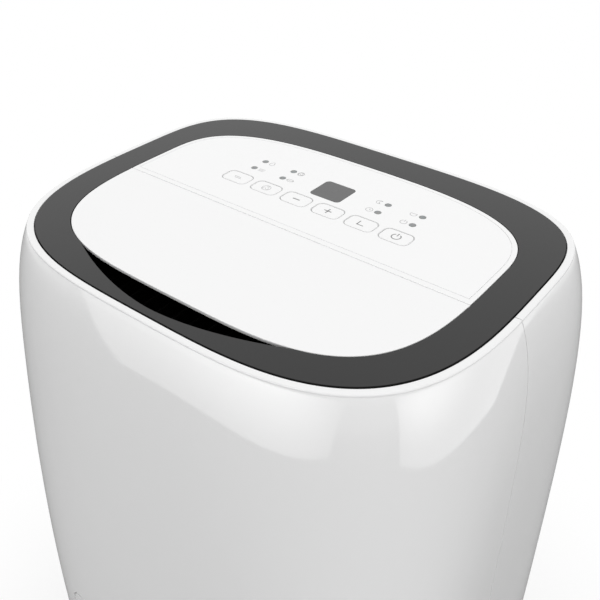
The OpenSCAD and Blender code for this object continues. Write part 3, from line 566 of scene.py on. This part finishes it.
camera = bpy.data.objects.new("camera", bpy.data.cameras.new("camera"))
scene.collection.objects.link(camera)
scene.camera = camera
camera.location = (0.2744, -0.3357, TOP_Z + 0.2522)
camera.rotation_euler = Euler((math.radians(90 - 32.411), 0, math.radians(38.089)))
camera.data.lens = 47.51
camera.data.sensor_width = 36
camera.data.shift_y = -0.08

# ------------------------------------------------------------------ body shells


def steps_between(low, high, count):
    """Heights from low to high, closer together towards both ends."""
    return [low + (high - low) * (1 - math.cos(math.pi * i / count)) / 2
            for i in range(count + 1)]


edge_out = side_out(LIP_Z - LIP_ROUND)
# Fine crease that sets the lip off from the wall: depth and distance below the lip
CREASE = [(0, mm(2.4)), (mm(0.3), mm(1.4)), (0, LIP_ROUND)]
shell_outer = ([(side_out(z), z) for z in steps_between(SHELL_Z, LIP_Z - mm(5), 42)]
               + [(side_out(LIP_Z - down) - deep, LIP_Z - down) for deep, down in CREASE]
               + [(edge_out - LIP_ROUND * (1 - math.cos(a)),
                   LIP_Z - LIP_ROUND * (1 - math.sin(a)))
                  for a in [math.radians(15 * i) for i in range(1, 7)]]
               + [(RING_GAP, LIP_Z)])
shell_inner = ([(side_out(z) - WALL, z) for z in steps_between(SHELL_Z, SEAT_Z, 14)]
               + [(RING_GAP, SEAT_Z)])


def front_turn(out, z, t):
    """Angle from one side seam round the front to the other."""
    start = seam_angle(out, z, SEAM_Y - SEAM_GAP / 2)
    return -start - (math.pi - 2 * start) * t


def rear_turn(out, z, t):
    """Angle from one side seam round the back to the other."""
    start = seam_angle(out, z, SEAM_Y + SEAM_GAP / 2)
    return math.pi + start - (math.pi + 2 * start) * t


DOOR_HALF, DOOR_TOP, DOOR_R = mm(118), mm(205), mm(12)
FRONT_IN, FRONT_OUT = -mm(100), -mm(160)     # a cut from one to the other goes through the wall
BACK_IN, BACK_OUT = mm(100), mm(200)
DRAIN_R, GLAND_R = mm(10), mm(12.5)


def doorway(gap, name):
    """Tool in the shape of the tank's opening."""
    return bar(name, (-DOOR_HALF + gap, -mm(210), mm(-20)),
               (DOOR_HALF - gap, -mm(60), DOOR_TOP - gap), 1, DOOR_R - gap, steps=10)


SHELL_COLUMNS, SHELL_EDGE = 132, mm(0.08)
front = swept_wall("front_body", shell_outer, shell_inner, front_turn, SHELL_COLUMNS)
broken_edges(front, SHELL_EDGE, 2, 50)
cut(front, doorway(0, "tank_opening"))
fitted(front, gloss_abs, "front_shell")

grille_low, grille_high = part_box("intake_grille")
GRILLE_HALF = grille_high.x
GRILLE_R = mm(12)
drain_low, drain_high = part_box("drain_cap")
drain_at = ((drain_low.x + drain_high.x) / 2, (drain_low.z + drain_high.z) / 2)
gland_low, gland_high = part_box("cord_gland")
gland_at = ((gland_low.x + gland_high.x) / 2, (gland_low.z + gland_high.z) / 2)


def back_opening(name, gap):
    """Tool in the shape of the intake's opening."""
    return bar(name, (-GRILLE_HALF - gap, BACK_IN, grille_low.z - gap),
               (GRILLE_HALF + gap, BACK_OUT, grille_high.z + gap), 1, GRILLE_R + gap, steps=10)


rear = swept_wall("rear_body", shell_outer, shell_inner, rear_turn, SHELL_COLUMNS)
broken_edges(rear, SHELL_EDGE, 2, 50)
cut(rear, back_opening("intake_opening", mm(1)))
for name, (x, z), radius in (("drain_opening", drain_at, DRAIN_R),
                             ("gland_opening", gland_at, GLAND_R)):
    cut(rear, rod(name, (x, BACK_IN, z), (x, BACK_OUT, z), radius, steps=64))
fitted(rear, gloss_abs, "rear_shell")

# ------------------------------------------------------------------ top

PANEL_HALF = RING_HALF - BAND_SIDE
PANEL_FRONT = RING_FRONT - BAND_FRONT
SLOT_HALF, SLOT_REACH, SLOT_BACK = mm(82), mm(15.2), mm(-86)
slot_front = WIDEST_Y - PANEL_FRONT - SLOT_REACH
slot_tip = WIDEST_Y - PANEL_FRONT * (
    1 - (SLOT_HALF / PANEL_HALF) ** PANEL_SQUARE[0]) ** (1 / PANEL_SQUARE[0])
SLOT_POWER = 1.8       # 2 would make the slot's front edge a parabola

ring = sheet_of("trim_ring_finished", lambda a: body_point(0, LIP_Z, a), SEAT_Z, TOP_Z)
cut(ring, sheet_of("panel_opening", lambda a: panel_point(0, a), SEAT_Z - mm(1), TOP_Z + mm(1)))
slot_edge = [(SLOT_HALF * i / 60,
              slot_front + (slot_tip - slot_front) * abs(i / 60) ** SLOT_POWER)
             for i in range(-60, 61)]
cut(ring, plate("finger_slot", slot_edge + [(SLOT_HALF, SLOT_BACK), (-SLOT_HALF, SLOT_BACK)],
                SEAT_Z - mm(1), TOP_Z + mm(1)))
broken_edges(ring, mm(0.4), 2, 50)
fitted(ring, anthracite, "trim_ring")

flap_low, flap_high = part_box("outlet_flap")
flap_under = TOP_Z - FLAP_T
NOSE_R, NOSE_X, NOSE_CLEARANCE_R = mm(1.5), PANEL_HALF - mm(0.7), mm(1.65)
FLAP_END_Y = FLAP_AXIS_Y + mm(0.9)
flap = split(sheet_of("outlet_flap_finished", lambda a: panel_point(EDGE_GAP, a), flap_under,
                      TOP_Z), (0, FLAP_END_Y, 0), (0, 1, 0))
broken_edges(flap, mm(0.45), 3, 50)
flap_parts = [flap, rod("nose", (-NOSE_X, FLAP_AXIS_Y, TOP_Z - NOSE_R),
                        (NOSE_X, FLAP_AXIS_Y, TOP_Z - NOSE_R), NOSE_R, mm(0.2)),
              rod("pins", (flap_low.x, FLAP_AXIS_Y, TOP_Z - NOSE_R),
                  (flap_high.x, FLAP_AXIS_Y, TOP_Z - NOSE_R), mm(1), mm(0.2), 24),
              block("cross_rib", (-mm(97), -mm(60), flap_low.z), (mm(97), -mm(58.4), flap_under),
                    mm(0.25))]
for x in (-96, -48, 0, 48, 96):
    flap_parts.append(block("rib", (mm(x - 0.8), -mm(88), flap_low.z),
                            (mm(x + 0.8), FLAP_AXIS_Y - mm(4), flap_under + mm(0.1)), mm(0.25)))
fitted(joined("outlet_flap_finished", flap_parts), satin_abs, "outlet_flap")


def key_x(place):
    """Where the middle of a key stands, counted from 0 at the left."""
    return (place - 2.5) * KEY_PITCH


def panel_holes(low, high):
    """Tools for the keys, lights and display in the control panel."""
    tools = [bar("key_hole", (key_x(i) - KEY_W / 2 - KEY_GAP, KEY_Y - KEY_D / 2 - KEY_GAP, low),
                 (key_x(i) + KEY_W / 2 + KEY_GAP, KEY_Y + KEY_D / 2 + KEY_GAP, high), 2,
                 KEY_R + KEY_GAP) for i in range(6)]
    tools += [rod("light_hole", (c * KEY_PITCH, y, low), (c * KEY_PITCH, y, high),
                  LED_R + mm(0.1), steps=40) for c in LED_COLUMNS for y in LED_ROWS]
    margin = mm(0.2)
    tools.append(bar("display_hole", (-DISPLAY_W / 2 - margin, DISPLAY_Y - DISPLAY_D / 2 - margin,
                                      low),
                     (DISPLAY_W / 2 + margin, DISPLAY_Y + DISPLAY_D / 2 + margin, high), 2,
                     mm(3.2)))
    return tools


def rear_half(name, inset, front_y, low, high):
    """Plate in the shape of the white top behind its split."""
    return split(sheet_of(name, lambda a: panel_point(inset, a), low, high),
                 (0, front_y, 0), (0, -1, 0))


panel_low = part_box("control_panel")[0]
PANEL_EDGE_Y, PANEL_T = SPLIT_Y - mm(0.7), mm(2.2)
plate_z = TOP_Z - PANEL_T
panel = rear_half("control_panel_finished", EDGE_GAP, PANEL_EDGE_Y, panel_low.z, TOP_Z)
broken_edges(panel, mm(0.3), 3, 50)
cut(panel, rod("nose_clearance", (-mm(150), FLAP_AXIS_Y, TOP_Z - NOSE_R),
               (mm(150), FLAP_AXIS_Y, TOP_Z - NOSE_R), NOSE_CLEARANCE_R, steps=64))
cut(panel, rear_half("underside", EDGE_GAP + mm(2), SPLIT_Y + mm(2), panel_low.z - mm(1),
                     plate_z))
cut(panel, rear_half("film_seat", OVERLAY_INSET, SPLIT_Y + OVERLAY_INSET, TOP_Z - OVERLAY_T,
                     TOP_Z + mm(1)))
cut(panel, *panel_holes(plate_z - mm(1), TOP_Z + mm(1)))
fitted(panel, satin_abs, "control_panel")

overlay = rear_half("control_film", OVERLAY_INSET + mm(0.3), SPLIT_Y + OVERLAY_INSET + mm(0.3),
                    TOP_Z - OVERLAY_T, TOP_Z)
cut(overlay, *panel_holes(TOP_Z - mm(1), TOP_Z + mm(1)))
fitted(overlay, film, "control_overlay")

for i, name in enumerate(KEY_NAMES):
    low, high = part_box(name)
    flange_top = TOP_Z - mm(2.4)
    cap = bar("cap", (key_x(i) - KEY_W / 2, KEY_Y - KEY_D / 2, flange_top - mm(0.5)),
              (key_x(i) + KEY_W / 2, KEY_Y + KEY_D / 2, TOP_Z), 2, KEY_R, mm(0.3))
    flange = bar("flange", (low.x, low.y, flange_top - mm(1.4)), (high.x, high.y, flange_top), 2,
                 KEY_R + mm(1), mm(0.2))
    stem = bar("stem", (key_x(i) - mm(3), KEY_Y - mm(2), low.z),
               (key_x(i) + mm(3), KEY_Y + mm(2), flange_top - mm(1.2)), 2, mm(1), mm(0.2))
    fitted(joined(name + "_finished", [cap, flange, stem]), key_abs, name)

window_low, window_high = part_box("display_window")
display = bar("display_finished", window_low, window_high, 2, mm(3), mm(0.2))
fitted(display, smoked, "display_window")

lights_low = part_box("indicator_lights")[0]
pipes = [rod("light", (c * KEY_PITCH, y, lights_low.z), (c * KEY_PITCH, y, TOP_Z), LED_R,
             mm(0.35), 40) for c in LED_COLUMNS for y in LED_ROWS]
fitted(joined("light_pipes", pipes), light_pipe, "indicator_lights")

# ------------------------------------------------------------------ printed symbols

INK_T = mm(0.03)       # thickness of the ink above the surface, thicker than real to show
INK_SUNK = mm(0.02)


def raised(obj):
    """Turn a flat figure into a thin layer of ink on the top face."""
    edit(obj)
    bpy.ops.mesh.select_all(action="SELECT")
    bpy.ops.mesh.extrude_region_move(TRANSFORM_OT_translate={"value": (0, 0, INK_T + INK_SUNK)})
    bpy.ops.mesh.select_all(action="SELECT")
    bpy.ops.mesh.normals_make_consistent(inside=False)
    return done(obj)


def stroke(x, y, length, width, angle=0):
    """Straight printed line centred on a point."""
    bpy.ops.mesh.primitive_plane_add(size=1, location=(x, y, TOP_Z - INK_SUNK),
                                     rotation=(0, 0, math.radians(angle)))
    bpy.context.object.scale = (length, width, 1)
    return raised(done(bpy.context.object))


def arc(x, y, radius, width, start=0, end=360, steps=48):
    """Printed line along a circle, from start to end in degrees."""
    bpy.ops.mesh.primitive_circle_add(vertices=steps, radius=radius + width / 2,
                                      location=(x, y, TOP_Z - INK_SUNK))
    obj = done(bpy.context.object)
    edit(obj, "VERT")
    turn = end - start
    if turn < 360:
        pick(obj, "VERT", lambda v: (math.degrees(math.atan2(v.co.y - y, v.co.x - x)) - start)
             % 360 > turn)
        bpy.ops.mesh.delete(type="VERT")
    bpy.ops.mesh.select_all(action="SELECT")
    inner = (radius - width / 2) / (radius + width / 2)
    bpy.ops.mesh.extrude_region()
    bpy.ops.transform.resize(value=(inner, inner, 1), center_override=(x, y, TOP_Z))
    return raised(done(obj))


def swirl(x, y, size):
    """Three curved fan blades inside a ring."""
    marks = [arc(x, y, size, mm(0.45))]
    for turn in (90, 210, 330):
        a = math.radians(turn)
        marks.append(arc(x + 0.42 * size * math.cos(a), y + 0.42 * size * math.sin(a),
                         0.36 * size, mm(0.45), turn - 150, turn + 70, 32))
    return marks


def power(x, y, size, width):
    return [arc(x, y, size, width, 115, 425), stroke(x, y + size * 0.8, size * 1.1, width, 90)]


def painted_key_gap_shade(x, y):
    """Thin grey line drawn as ink just outside a key's gap: painted shade of the gap."""
    def shape(grow, low, high):
        half_w, half_d = KEY_W / 2 + KEY_GAP + grow, KEY_D / 2 + KEY_GAP + grow
        return bar("key_gap_shade_line", (x - half_w, y - half_d, low), (x + half_w, y + half_d, high), 2,
                   KEY_R + KEY_GAP + grow)
    return cut(shape(mm(0.45), TOP_Z - INK_SUNK, TOP_Z + INK_T),
               shape(mm(0.1), TOP_Z - mm(1), TOP_Z + mm(1)))


key_marks = {
    "key_mode": lambda x, y: [stroke(x - mm(0.6), y + mm(0.8), mm(5.4), mm(0.6)),
                              stroke(x + mm(0.6), y - mm(0.8), mm(5.4), mm(0.6))],
    "key_fan": lambda x, y: swirl(x, y, mm(3.2)),
    "key_minus": lambda x, y: [stroke(x, y, mm(5.6), mm(1.1))],
    "key_plus": lambda x, y: [stroke(x, y, mm(5.8), mm(0.9)), stroke(x, y, mm(5.8), mm(0.9), 90)],
    "key_timer": lambda x, y: [stroke(x + mm(0.3), y - mm(2), mm(5), mm(0.75)),
                               stroke(x - mm(1.9), y + mm(0.2), mm(5), mm(0.75), 90)],
    "key_power": lambda x, y: power(x, y, mm(3), mm(0.75)),
}
for i, name in enumerate(KEY_NAMES):
    mark = joined(name + "_symbol", key_marks[name](key_x(i), KEY_Y))
    ink = pale_ink_and_gap_shade if name in ("key_mode", "key_fan") else ink_dark
    fitted(mark, ink, body=name)


LINE = mm(0.35)


def drop(x, y):
    return [arc(x, y - mm(0.5), mm(1.3), LINE, 140, 400),
            stroke(x - mm(0.65), y + mm(1.05), mm(1.9), LINE, 60),
            stroke(x + mm(0.65), y + mm(1.05), mm(1.9), LINE, 120)]


def leaf(x, y):
    return [arc(x, y - mm(1.2), mm(2.4), LINE, 30, 150),
            arc(x, y + mm(1.2), mm(2.4), LINE, 210, 330), stroke(x, y, mm(4), mm(0.3))]


def moon(x, y):
    return [arc(x, y, mm(1.6), LINE, 50, 310), arc(x + mm(1.1), y, mm(1.25), LINE, 100, 260, 32)]


def clock(x, y):
    return [arc(x, y, mm(1.7), LINE), stroke(x, y + mm(0.45), mm(1), mm(0.3), 90),
            stroke(x + mm(0.35), y, mm(0.8), mm(0.3))]


def tank(x, y):
    return [arc(x, y, mm(1.7), LINE, 160, 380), stroke(x, y + mm(0.6), mm(3.4), LINE)]


def frost(x, y):
    return [stroke(x, y + d * mm(1), mm(3.6), LINE) for d in (-1, 0, 1)]


left_1, left_2, right_1, right_2 = [c * KEY_PITCH for c in LED_COLUMNS]
low_row, high_row = LED_ROWS
beside = mm(6.6)


def enlarged(figure, x, y, factor=1.4):
    """Draw a figure centred on a point and grow it about that point."""
    obj = joined("symbol", figure(x, y))
    obj.scale = (factor, factor, 1)
    obj.location = (x - x * factor, y - y * factor, 0)
    return done(obj)


# Grey ink lines round the keys: painted shade of the gaps round them
lines = joined("key_gap_shade_lines", [painted_key_gap_shade(key_x(i), KEY_Y) for i in range(6)])
fitted(lines, pale_ink_and_gap_shade, body="cabinet")
symbols = [enlarged(drop, left_1 + beside, high_row), enlarged(frost, left_1 + beside, low_row),
           enlarged(lambda x, y: swirl(x, y, mm(1.7)), left_2 + beside, high_row),
           enlarged(leaf, left_2 + beside, low_row), enlarged(clock, right_1 - beside, low_row),
           enlarged(moon, right_1 - beside, high_row), enlarged(tank, right_2 - beside, high_row),
           enlarged(lambda x, y: power(x, y, mm(1.6), mm(0.4)), right_2 - beside, low_row)]
legend = joined("light_symbols", symbols)
fitted(legend, pale_ink_and_gap_shade, body="cabinet")

# ------------------------------------------------------------------ rear intake

patch_rows = 26
patch_z = [grille_low.z + (grille_high.z - grille_low.z) * i / patch_rows
           for i in range(patch_rows + 1)]
grille = swept_wall("intake_grille_finished", [(side_out(z), z) for z in patch_z],
                    [(side_out(z) - WALL, z) for z in patch_z],
                    lambda out, z, t: math.radians(150 - 120 * t), 60)
combined(grille, [back_opening("grille_outline", 0)], "INTERSECT")
SLOT_STEP, BAR_H, RIB_HALF, RIB_X = mm(11), mm(5.2), mm(2), mm(52)
RIM_SIDE, RIM_LOW, RIM_HIGH = mm(9), mm(14.5), mm(10)
PAD_HEIGHTS = (mm(266), mm(438))
columns = [(-GRILLE_HALF + RIM_SIDE, -RIB_X - RIB_HALF), (-RIB_X + RIB_HALF, -RIB_HALF),
           (RIB_HALF, RIB_X - RIB_HALF), (RIB_X + RIB_HALF, GRILLE_HALF - RIM_SIDE)]
slots = []
z = grille_low.z + RIM_LOW + BAR_H - SLOT_STEP
while z < grille_high.z - RIM_HIGH:
    for x0, x1 in columns:
        slots.append(bar("slot", (x0, mm(110), z), (x1, mm(170), z + SLOT_STEP - BAR_H), 1,
                         mm(2.4), steps=4))
    z += SLOT_STEP
cut(grille, *slots)
pads = []
for x in (-RIB_X, 0, RIB_X):
    for z in PAD_HEIGHTS:
        pads.append(block("pad", (x - mm(2), grille_low.y, z - mm(7)),
                          (x + mm(2), face_y(x, z, True, WALL / 2) - mm(0.5), z + mm(7)),
                          mm(0.3)))
fitted(joined("intake_grille_finished", [grille] + pads), gloss_abs, "intake_grille")

filter_low, filter_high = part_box("air_filter")
FRAME_W, CELL, CELL_STEP = mm(4), mm(60), mm(62)
filter_frame = bar("filter_frame", filter_low, filter_high, 1, mm(3), mm(0.4))
cells = []
for column in range(3):
    for row in range(3):
        x, z = [low + FRAME_W + i * CELL_STEP
                for low, i in ((filter_low.x, column), (filter_low.z, row))]
        cells.append(bar("cell", (x, filter_low.y - mm(1), z),
                         (x + CELL, filter_high.y + mm(1), z + CELL), 1, mm(3)))
cut(filter_frame, *cells)
fitted(filter_frame, filter_pp, "air_filter")
bpy.ops.mesh.primitive_grid_add(x_subdivisions=12, y_subdivisions=12, size=1,
                                location=((filter_low.x + filter_high.x) / 2,
                                          (filter_low.y + filter_high.y) / 2,
                                          (filter_low.z + filter_high.z) / 2),
                                rotation=(math.radians(90), 0, 0))
weave_sheet = bpy.context.object
weave_sheet.scale = (filter_high.x - filter_low.x - mm(6), filter_high.z - filter_low.z - mm(6), 1)
done(weave_sheet, "filter_mesh")
modified(weave_sheet, "SOLIDIFY", thickness=mm(0.5), offset=0)
fitted(weave_sheet, mesh_nylon, body="intake")

# ------------------------------------------------------------------ water tank

tank_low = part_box("water_tank")[0]
GRIP_W, GRIP_H, GRIP_Z = mm(92), mm(22), mm(168)
WINDOW_HALF, WINDOW_LOW, WINDOW_HIGH = mm(6), mm(70), mm(146)
CUP_W = mm(2.5)        # wall of the grip's cup
DOOR_RIB_X, DOOR_RIB_HALF, DOOR_RIB_LOW, DOOR_RIB_HIGH = mm(62), mm(1.5), mm(64), mm(182)
door_low, door_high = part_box("tank_front")
door_z = [door_low.z + (door_high.z - door_low.z) * i / 24 for i in range(25)]
door = swept_wall("tank_front_finished", [(side_out(z), z) for z in door_z],
                  [(side_out(z) - WALL, z) for z in door_z],
                  lambda out, z, t: math.radians(-40 - 100 * t), 80)
combined(door, [doorway(mm(1), "door_outline")], "INTERSECT")
cut(door, bar("grip_opening", (-GRIP_W / 2, FRONT_OUT, GRIP_Z - GRIP_H / 2),
              (GRIP_W / 2, FRONT_IN, GRIP_Z + GRIP_H / 2), 1, mm(9), steps=10))
cut(door, bar("window_opening", (-WINDOW_HALF, FRONT_OUT, WINDOW_LOW),
              (WINDOW_HALF, FRONT_IN, WINDOW_HIGH), 1, mm(2.5)))
wall_y = face_y(GRIP_W / 2, GRIP_Z - GRIP_H / 2, False, WALL / 2)   # inside the wall
cup = bar("grip_cup", (-GRIP_W / 2 - CUP_W, wall_y, GRIP_Z - GRIP_H / 2 - CUP_W),
          (GRIP_W / 2 + CUP_W, tank_low.y - mm(0.05), GRIP_Z + GRIP_H / 2 + CUP_W), 1,
          mm(11), mm(0.3))
pocket = bar("grip_pocket", (-GRIP_W / 2, FRONT_OUT, GRIP_Z - GRIP_H / 2),
             (GRIP_W / 2, tank_low.y - CUP_W, GRIP_Z + GRIP_H / 2), 1, mm(9), mm(3), 10)
cut(cup, pocket)
ribs = [block("rib", (x - DOOR_RIB_HALF, face_y(x, DOOR_RIB_LOW, False, WALL / 2), DOOR_RIB_LOW),
              (x + DOOR_RIB_HALF, tank_low.y - mm(0.05), DOOR_RIB_HIGH), mm(0.3))
        for x in (-DOOR_RIB_X, DOOR_RIB_X)]
fitted(joined("tank_front_finished", [door, cup] + ribs), gloss_abs, "tank_front")

fitted(refined("level_window", mm(0.25)), window_clear, "level_window")
fitted(refined("water_tank", mm(0.6), 3), tank_clear, "water_tank")
fitted(refined("tank_lid", mm(0.4)), inner_white, "tank_lid")
fitted(refined("tank_float", mm(0.5)), inner_white, "tank_float")
fitted(refined("tank_handle", mm(0.4)), handle_pp, "tank_handle")

# ------------------------------------------------------------------ castors and base

WHEEL_W = mm(12)
GROOVE_AT, GROOVE_DEEP = mm(2.6), mm(0.5)
for corner in ("fl", "fr", "rl", "rr"):
    low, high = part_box("castor_wheel_" + corner)
    centre, radius = (low + high) / 2, (high.z - low.z) / 2
    half = WHEEL_W / 2
    # Half the wheel's section, from the bore out: radius and distance along the axle
    rim = [(mm(2.55), -half), (mm(5), -half), (mm(5.6), -half + mm(1)), (mm(7.6), -half + mm(1.5)),
           (mm(10), -half + mm(1.5)), (mm(10.8), -half + mm(0.3)), (radius - mm(1.2), -half)]
    crown = [(radius - mm(0.35), -half + mm(0.4)), (radius, -half + mm(1.4))]
    groove = [(radius - deep, -GROOVE_AT + along)
              for deep, along in ((0, -mm(0.35)), (GROOVE_DEEP, -mm(0.25)),
                                  (GROOVE_DEEP, mm(0.25)), (0, mm(0.35)))]
    side = rim + crown + groove
    profile = side + [(r, -a) for r, a in side[::-1]]
    wheel = turned("castor_wheel_" + corner + "_finished", profile, centre, (1, 0, 0), 72)
    fitted(wheel, tread, "castor_wheel_" + corner)
    fitted(refined("castor_fork_" + corner, mm(0.35)), nylon, "castor_fork_" + corner)

fitted(refined("base_pan", mm(0.5)), base_pp, "base_pan")
fitted(refined("screws", mm(0.15)), zinc, "screws")

# ------------------------------------------------------------------ inside

inner_finish = {
    "top_deck": (0.4, well_abs), "outlet_grille": (0.4, grille_abs),
    "outlet_duct": (0.4, duct_pp), "fan_scroll": (0.5, duct_pp),
    "fan_impeller": (0.2, fan_pp), "fan_shaft": (0.3, zinc), "fan_motor": (0.5, cast),
    "partition": (0.4, base_pp), "coil_housing": (0.4, duct_pp), "drip_tray": (0.4, inner_white),
    "evaporator": (0.2, fins), "condenser": (0.2, fins), "drain_cap": (0.4, rubber),
    "compressor": (0.6, enamel), "compressor_feet": (0.8, rubber),
    "refrigerant_tubing": (0, copper), "filter_drier": (0.4, copper),
    "control_board": (0.15, board_mask), "electronics_box": (0.5, duct_pp),
    "capacitor": (0.6, can), "humidity_sensor": (0.3, inner_white),
    "tank_switch": (0.2, well_abs), "cord_gland": (0.5, rubber),
}
for name, (edge, material) in inner_finish.items():
    fitted(refined(name, mm(edge)), material, name)

# ------------------------------------------------------------------ floor and light


def white_to_rays(tree):
    """1 for rays from the camera and for those that metal, gloss and glass send on."""
    path = shader_node(tree, "LightPath")
    seen = shader_node(tree, "Math", {0: path.outputs["Is Camera Ray"],
                                      1: path.outputs["Is Glossy Ray"]}, operation="ADD")
    return shader_node(tree, "Math", {0: seen.outputs["Value"],
                                      1: path.outputs["Is Transmission Ray"]},
                       operation="ADD", use_clamp=True).outputs["Value"]


def studio_paper(name, colour, near, beyond, glow):
    """Matt paper that keeps its own colour near the object and is pure white beyond."""
    material, shader = plain(name, colour, 0.9, Specular_IOR_Level=0.0)
    place = node(material, "TexCoord").outputs["Object"]
    distance = node(material, "VectorMath", {0: place}, operation="LENGTH")
    far = node(material, "MapRange", {"Value": distance.outputs["Value"]},
               interpolation_type="SMOOTHSTEP")
    far.inputs["From Min"].default_value = near
    far.inputs["From Max"].default_value = beyond
    far.inputs["To Min"].default_value = glow
    share = node(material, "Math", {0: far.outputs["Result"], 1: white_to_rays(material.node_tree)},
                 operation="MULTIPLY")
    white = node(material, "Emission", Strength=1.0)
    mix = node(material, "MixShader", {0: share.outputs["Value"], 1: shader.outputs["BSDF"],
                                       2: white.outputs["Emission"]})
    output = material.node_tree.nodes["Material Output"]
    material.node_tree.links.new(mix.outputs["Shader"], output.inputs["Surface"])
    return material


bpy.ops.mesh.primitive_grid_add(x_subdivisions=4, y_subdivisions=4, size=24,
                                location=(0, 0, -mm(0.2)))
floor = done(bpy.context.object, "floor")
floor.data.materials.append(studio_paper("studio_paper", "#f4f4f4", 0.15, 0.45, 0.6))

AMBIENT = 0.66         # soft light from all round
OVERHEAD_W, FILL_W = 14.5, 3.5
world = bpy.data.worlds.new("studio")
scene.world = world
world.use_nodes = True
tree = world.node_tree
background = tree.nodes["Background"]
background.inputs["Strength"].default_value = AMBIENT
bright = shader_node(tree, "Background", Strength=1.0)
for shader in (background, bright):
    shader.inputs["Color"].default_value = (1, 1, 1, 1)
mix = shader_node(tree, "MixShader", {0: white_to_rays(tree), 1: background.outputs[0],
                                      2: bright.outputs[0]})
tree.links.new(mix.outputs[0], tree.nodes["World Output"].inputs["Surface"])


def softbox(name, place, aim, width, height, power):
    """Rectangular soft light facing a point."""
    light = bpy.data.lights.new(name, "AREA")
    light.shape = "RECTANGLE"
    light.size, light.size_y, light.energy = width, height, power
    lamp = bpy.data.objects.new(name, light)
    lamp.location = place
    lamp.rotation_euler = (Vector(place) - Vector(aim)).to_track_quat("Z", "Y").to_euler()
    scene.collection.objects.link(lamp)
    return lamp


def light_wall(name, low_left, low_right, height, lean_left, lean_right, peak, edge, core,
               reach):
    """Lit screen standing on the floor, wider above, brightest round its core. Only its
    reflections show: it doesn't light anything."""
    left, right = Vector(low_left + (0,)), Vector(low_right + (0,))
    along, up = (right - left).normalized(), Vector((0, 0, height))
    bpy.ops.mesh.primitive_plane_add(size=1)
    obj = bpy.context.object
    corners = [left, right, left - along * lean_left + up, right + along * lean_right + up]
    for vertex, corner in zip(obj.data.vertices, corners):
        vertex.co = corner
    material = bpy.data.materials.new(name + "_light")
    material.use_nodes = True
    place = node(material, "TexCoord").outputs["Object"]
    tall = Vector((1, 1, 1.25))        # the light falls off sooner upwards than sideways
    stretched = node(material, "VectorMath", {0: place}, operation="MULTIPLY")
    stretched.inputs[1].default_value = tall
    distance = node(material, "VectorMath", {0: stretched.outputs["Vector"]},
                    operation="DISTANCE")
    distance.inputs[1].default_value = Vector(core) * tall
    fade = node(material, "MapRange", {"Value": distance.outputs["Value"]},
                interpolation_type="SMOOTHSTEP")
    fade.inputs["From Max"].default_value = reach
    fade.inputs["To Min"].default_value, fade.inputs["To Max"].default_value = peak, edge
    glow = node(material, "Emission", {"Strength": fade.outputs["Result"]})
    output = material.node_tree.nodes["Material Output"]
    material.node_tree.links.new(glow.outputs["Emission"], output.inputs["Surface"])
    done(obj, name)
    obj.data.materials.append(material)
    obj.visible_camera = obj.visible_transmission = obj.visible_shadow = False
    obj.visible_diffuse = False


overhead = softbox("overhead", (0, 0.1, 2.2), (0, 0, 0.5), 2.0, 2.0, OVERHEAD_W)
fill = softbox("fill", (1.8, -1.1, 0.9), (0, 0, 0.4), 1.5, 1.5, FILL_W)
overhead.visible_glossy = fill.visible_glossy = False
light_wall("front_screen", (-0.68, -0.79), (0.55, -1.14), 0.8, 0.12, 0.45, 5.0, 1.4,
           (-0.05, -0.98, 0.6), 1.0)
light_wall("right_screen", (1.05, -0.41), (0.78, 0.55), 0.8, 0.08, 0.45, 4.4, 1.6,
           (0.98, -0.12, 0.5), 0.6)

# Grey card on the floor, seen only in reflections, which darkens the body's edges and
# fades out before the horizon
bpy.ops.mesh.primitive_grid_add(x_subdivisions=4, y_subdivisions=4, size=7,
                                location=(0, 0, mm(0.2)))
dark = done(bpy.context.object, "floor_card")
dark.data.materials.append(studio_paper("grey_card", "#9a9a9a", 1.2, 3.3, 0))
dark.visible_camera = dark.visible_diffuse = dark.visible_transmission = False
dark.visible_shadow = False

scene.view_settings.view_transform = "Standard"
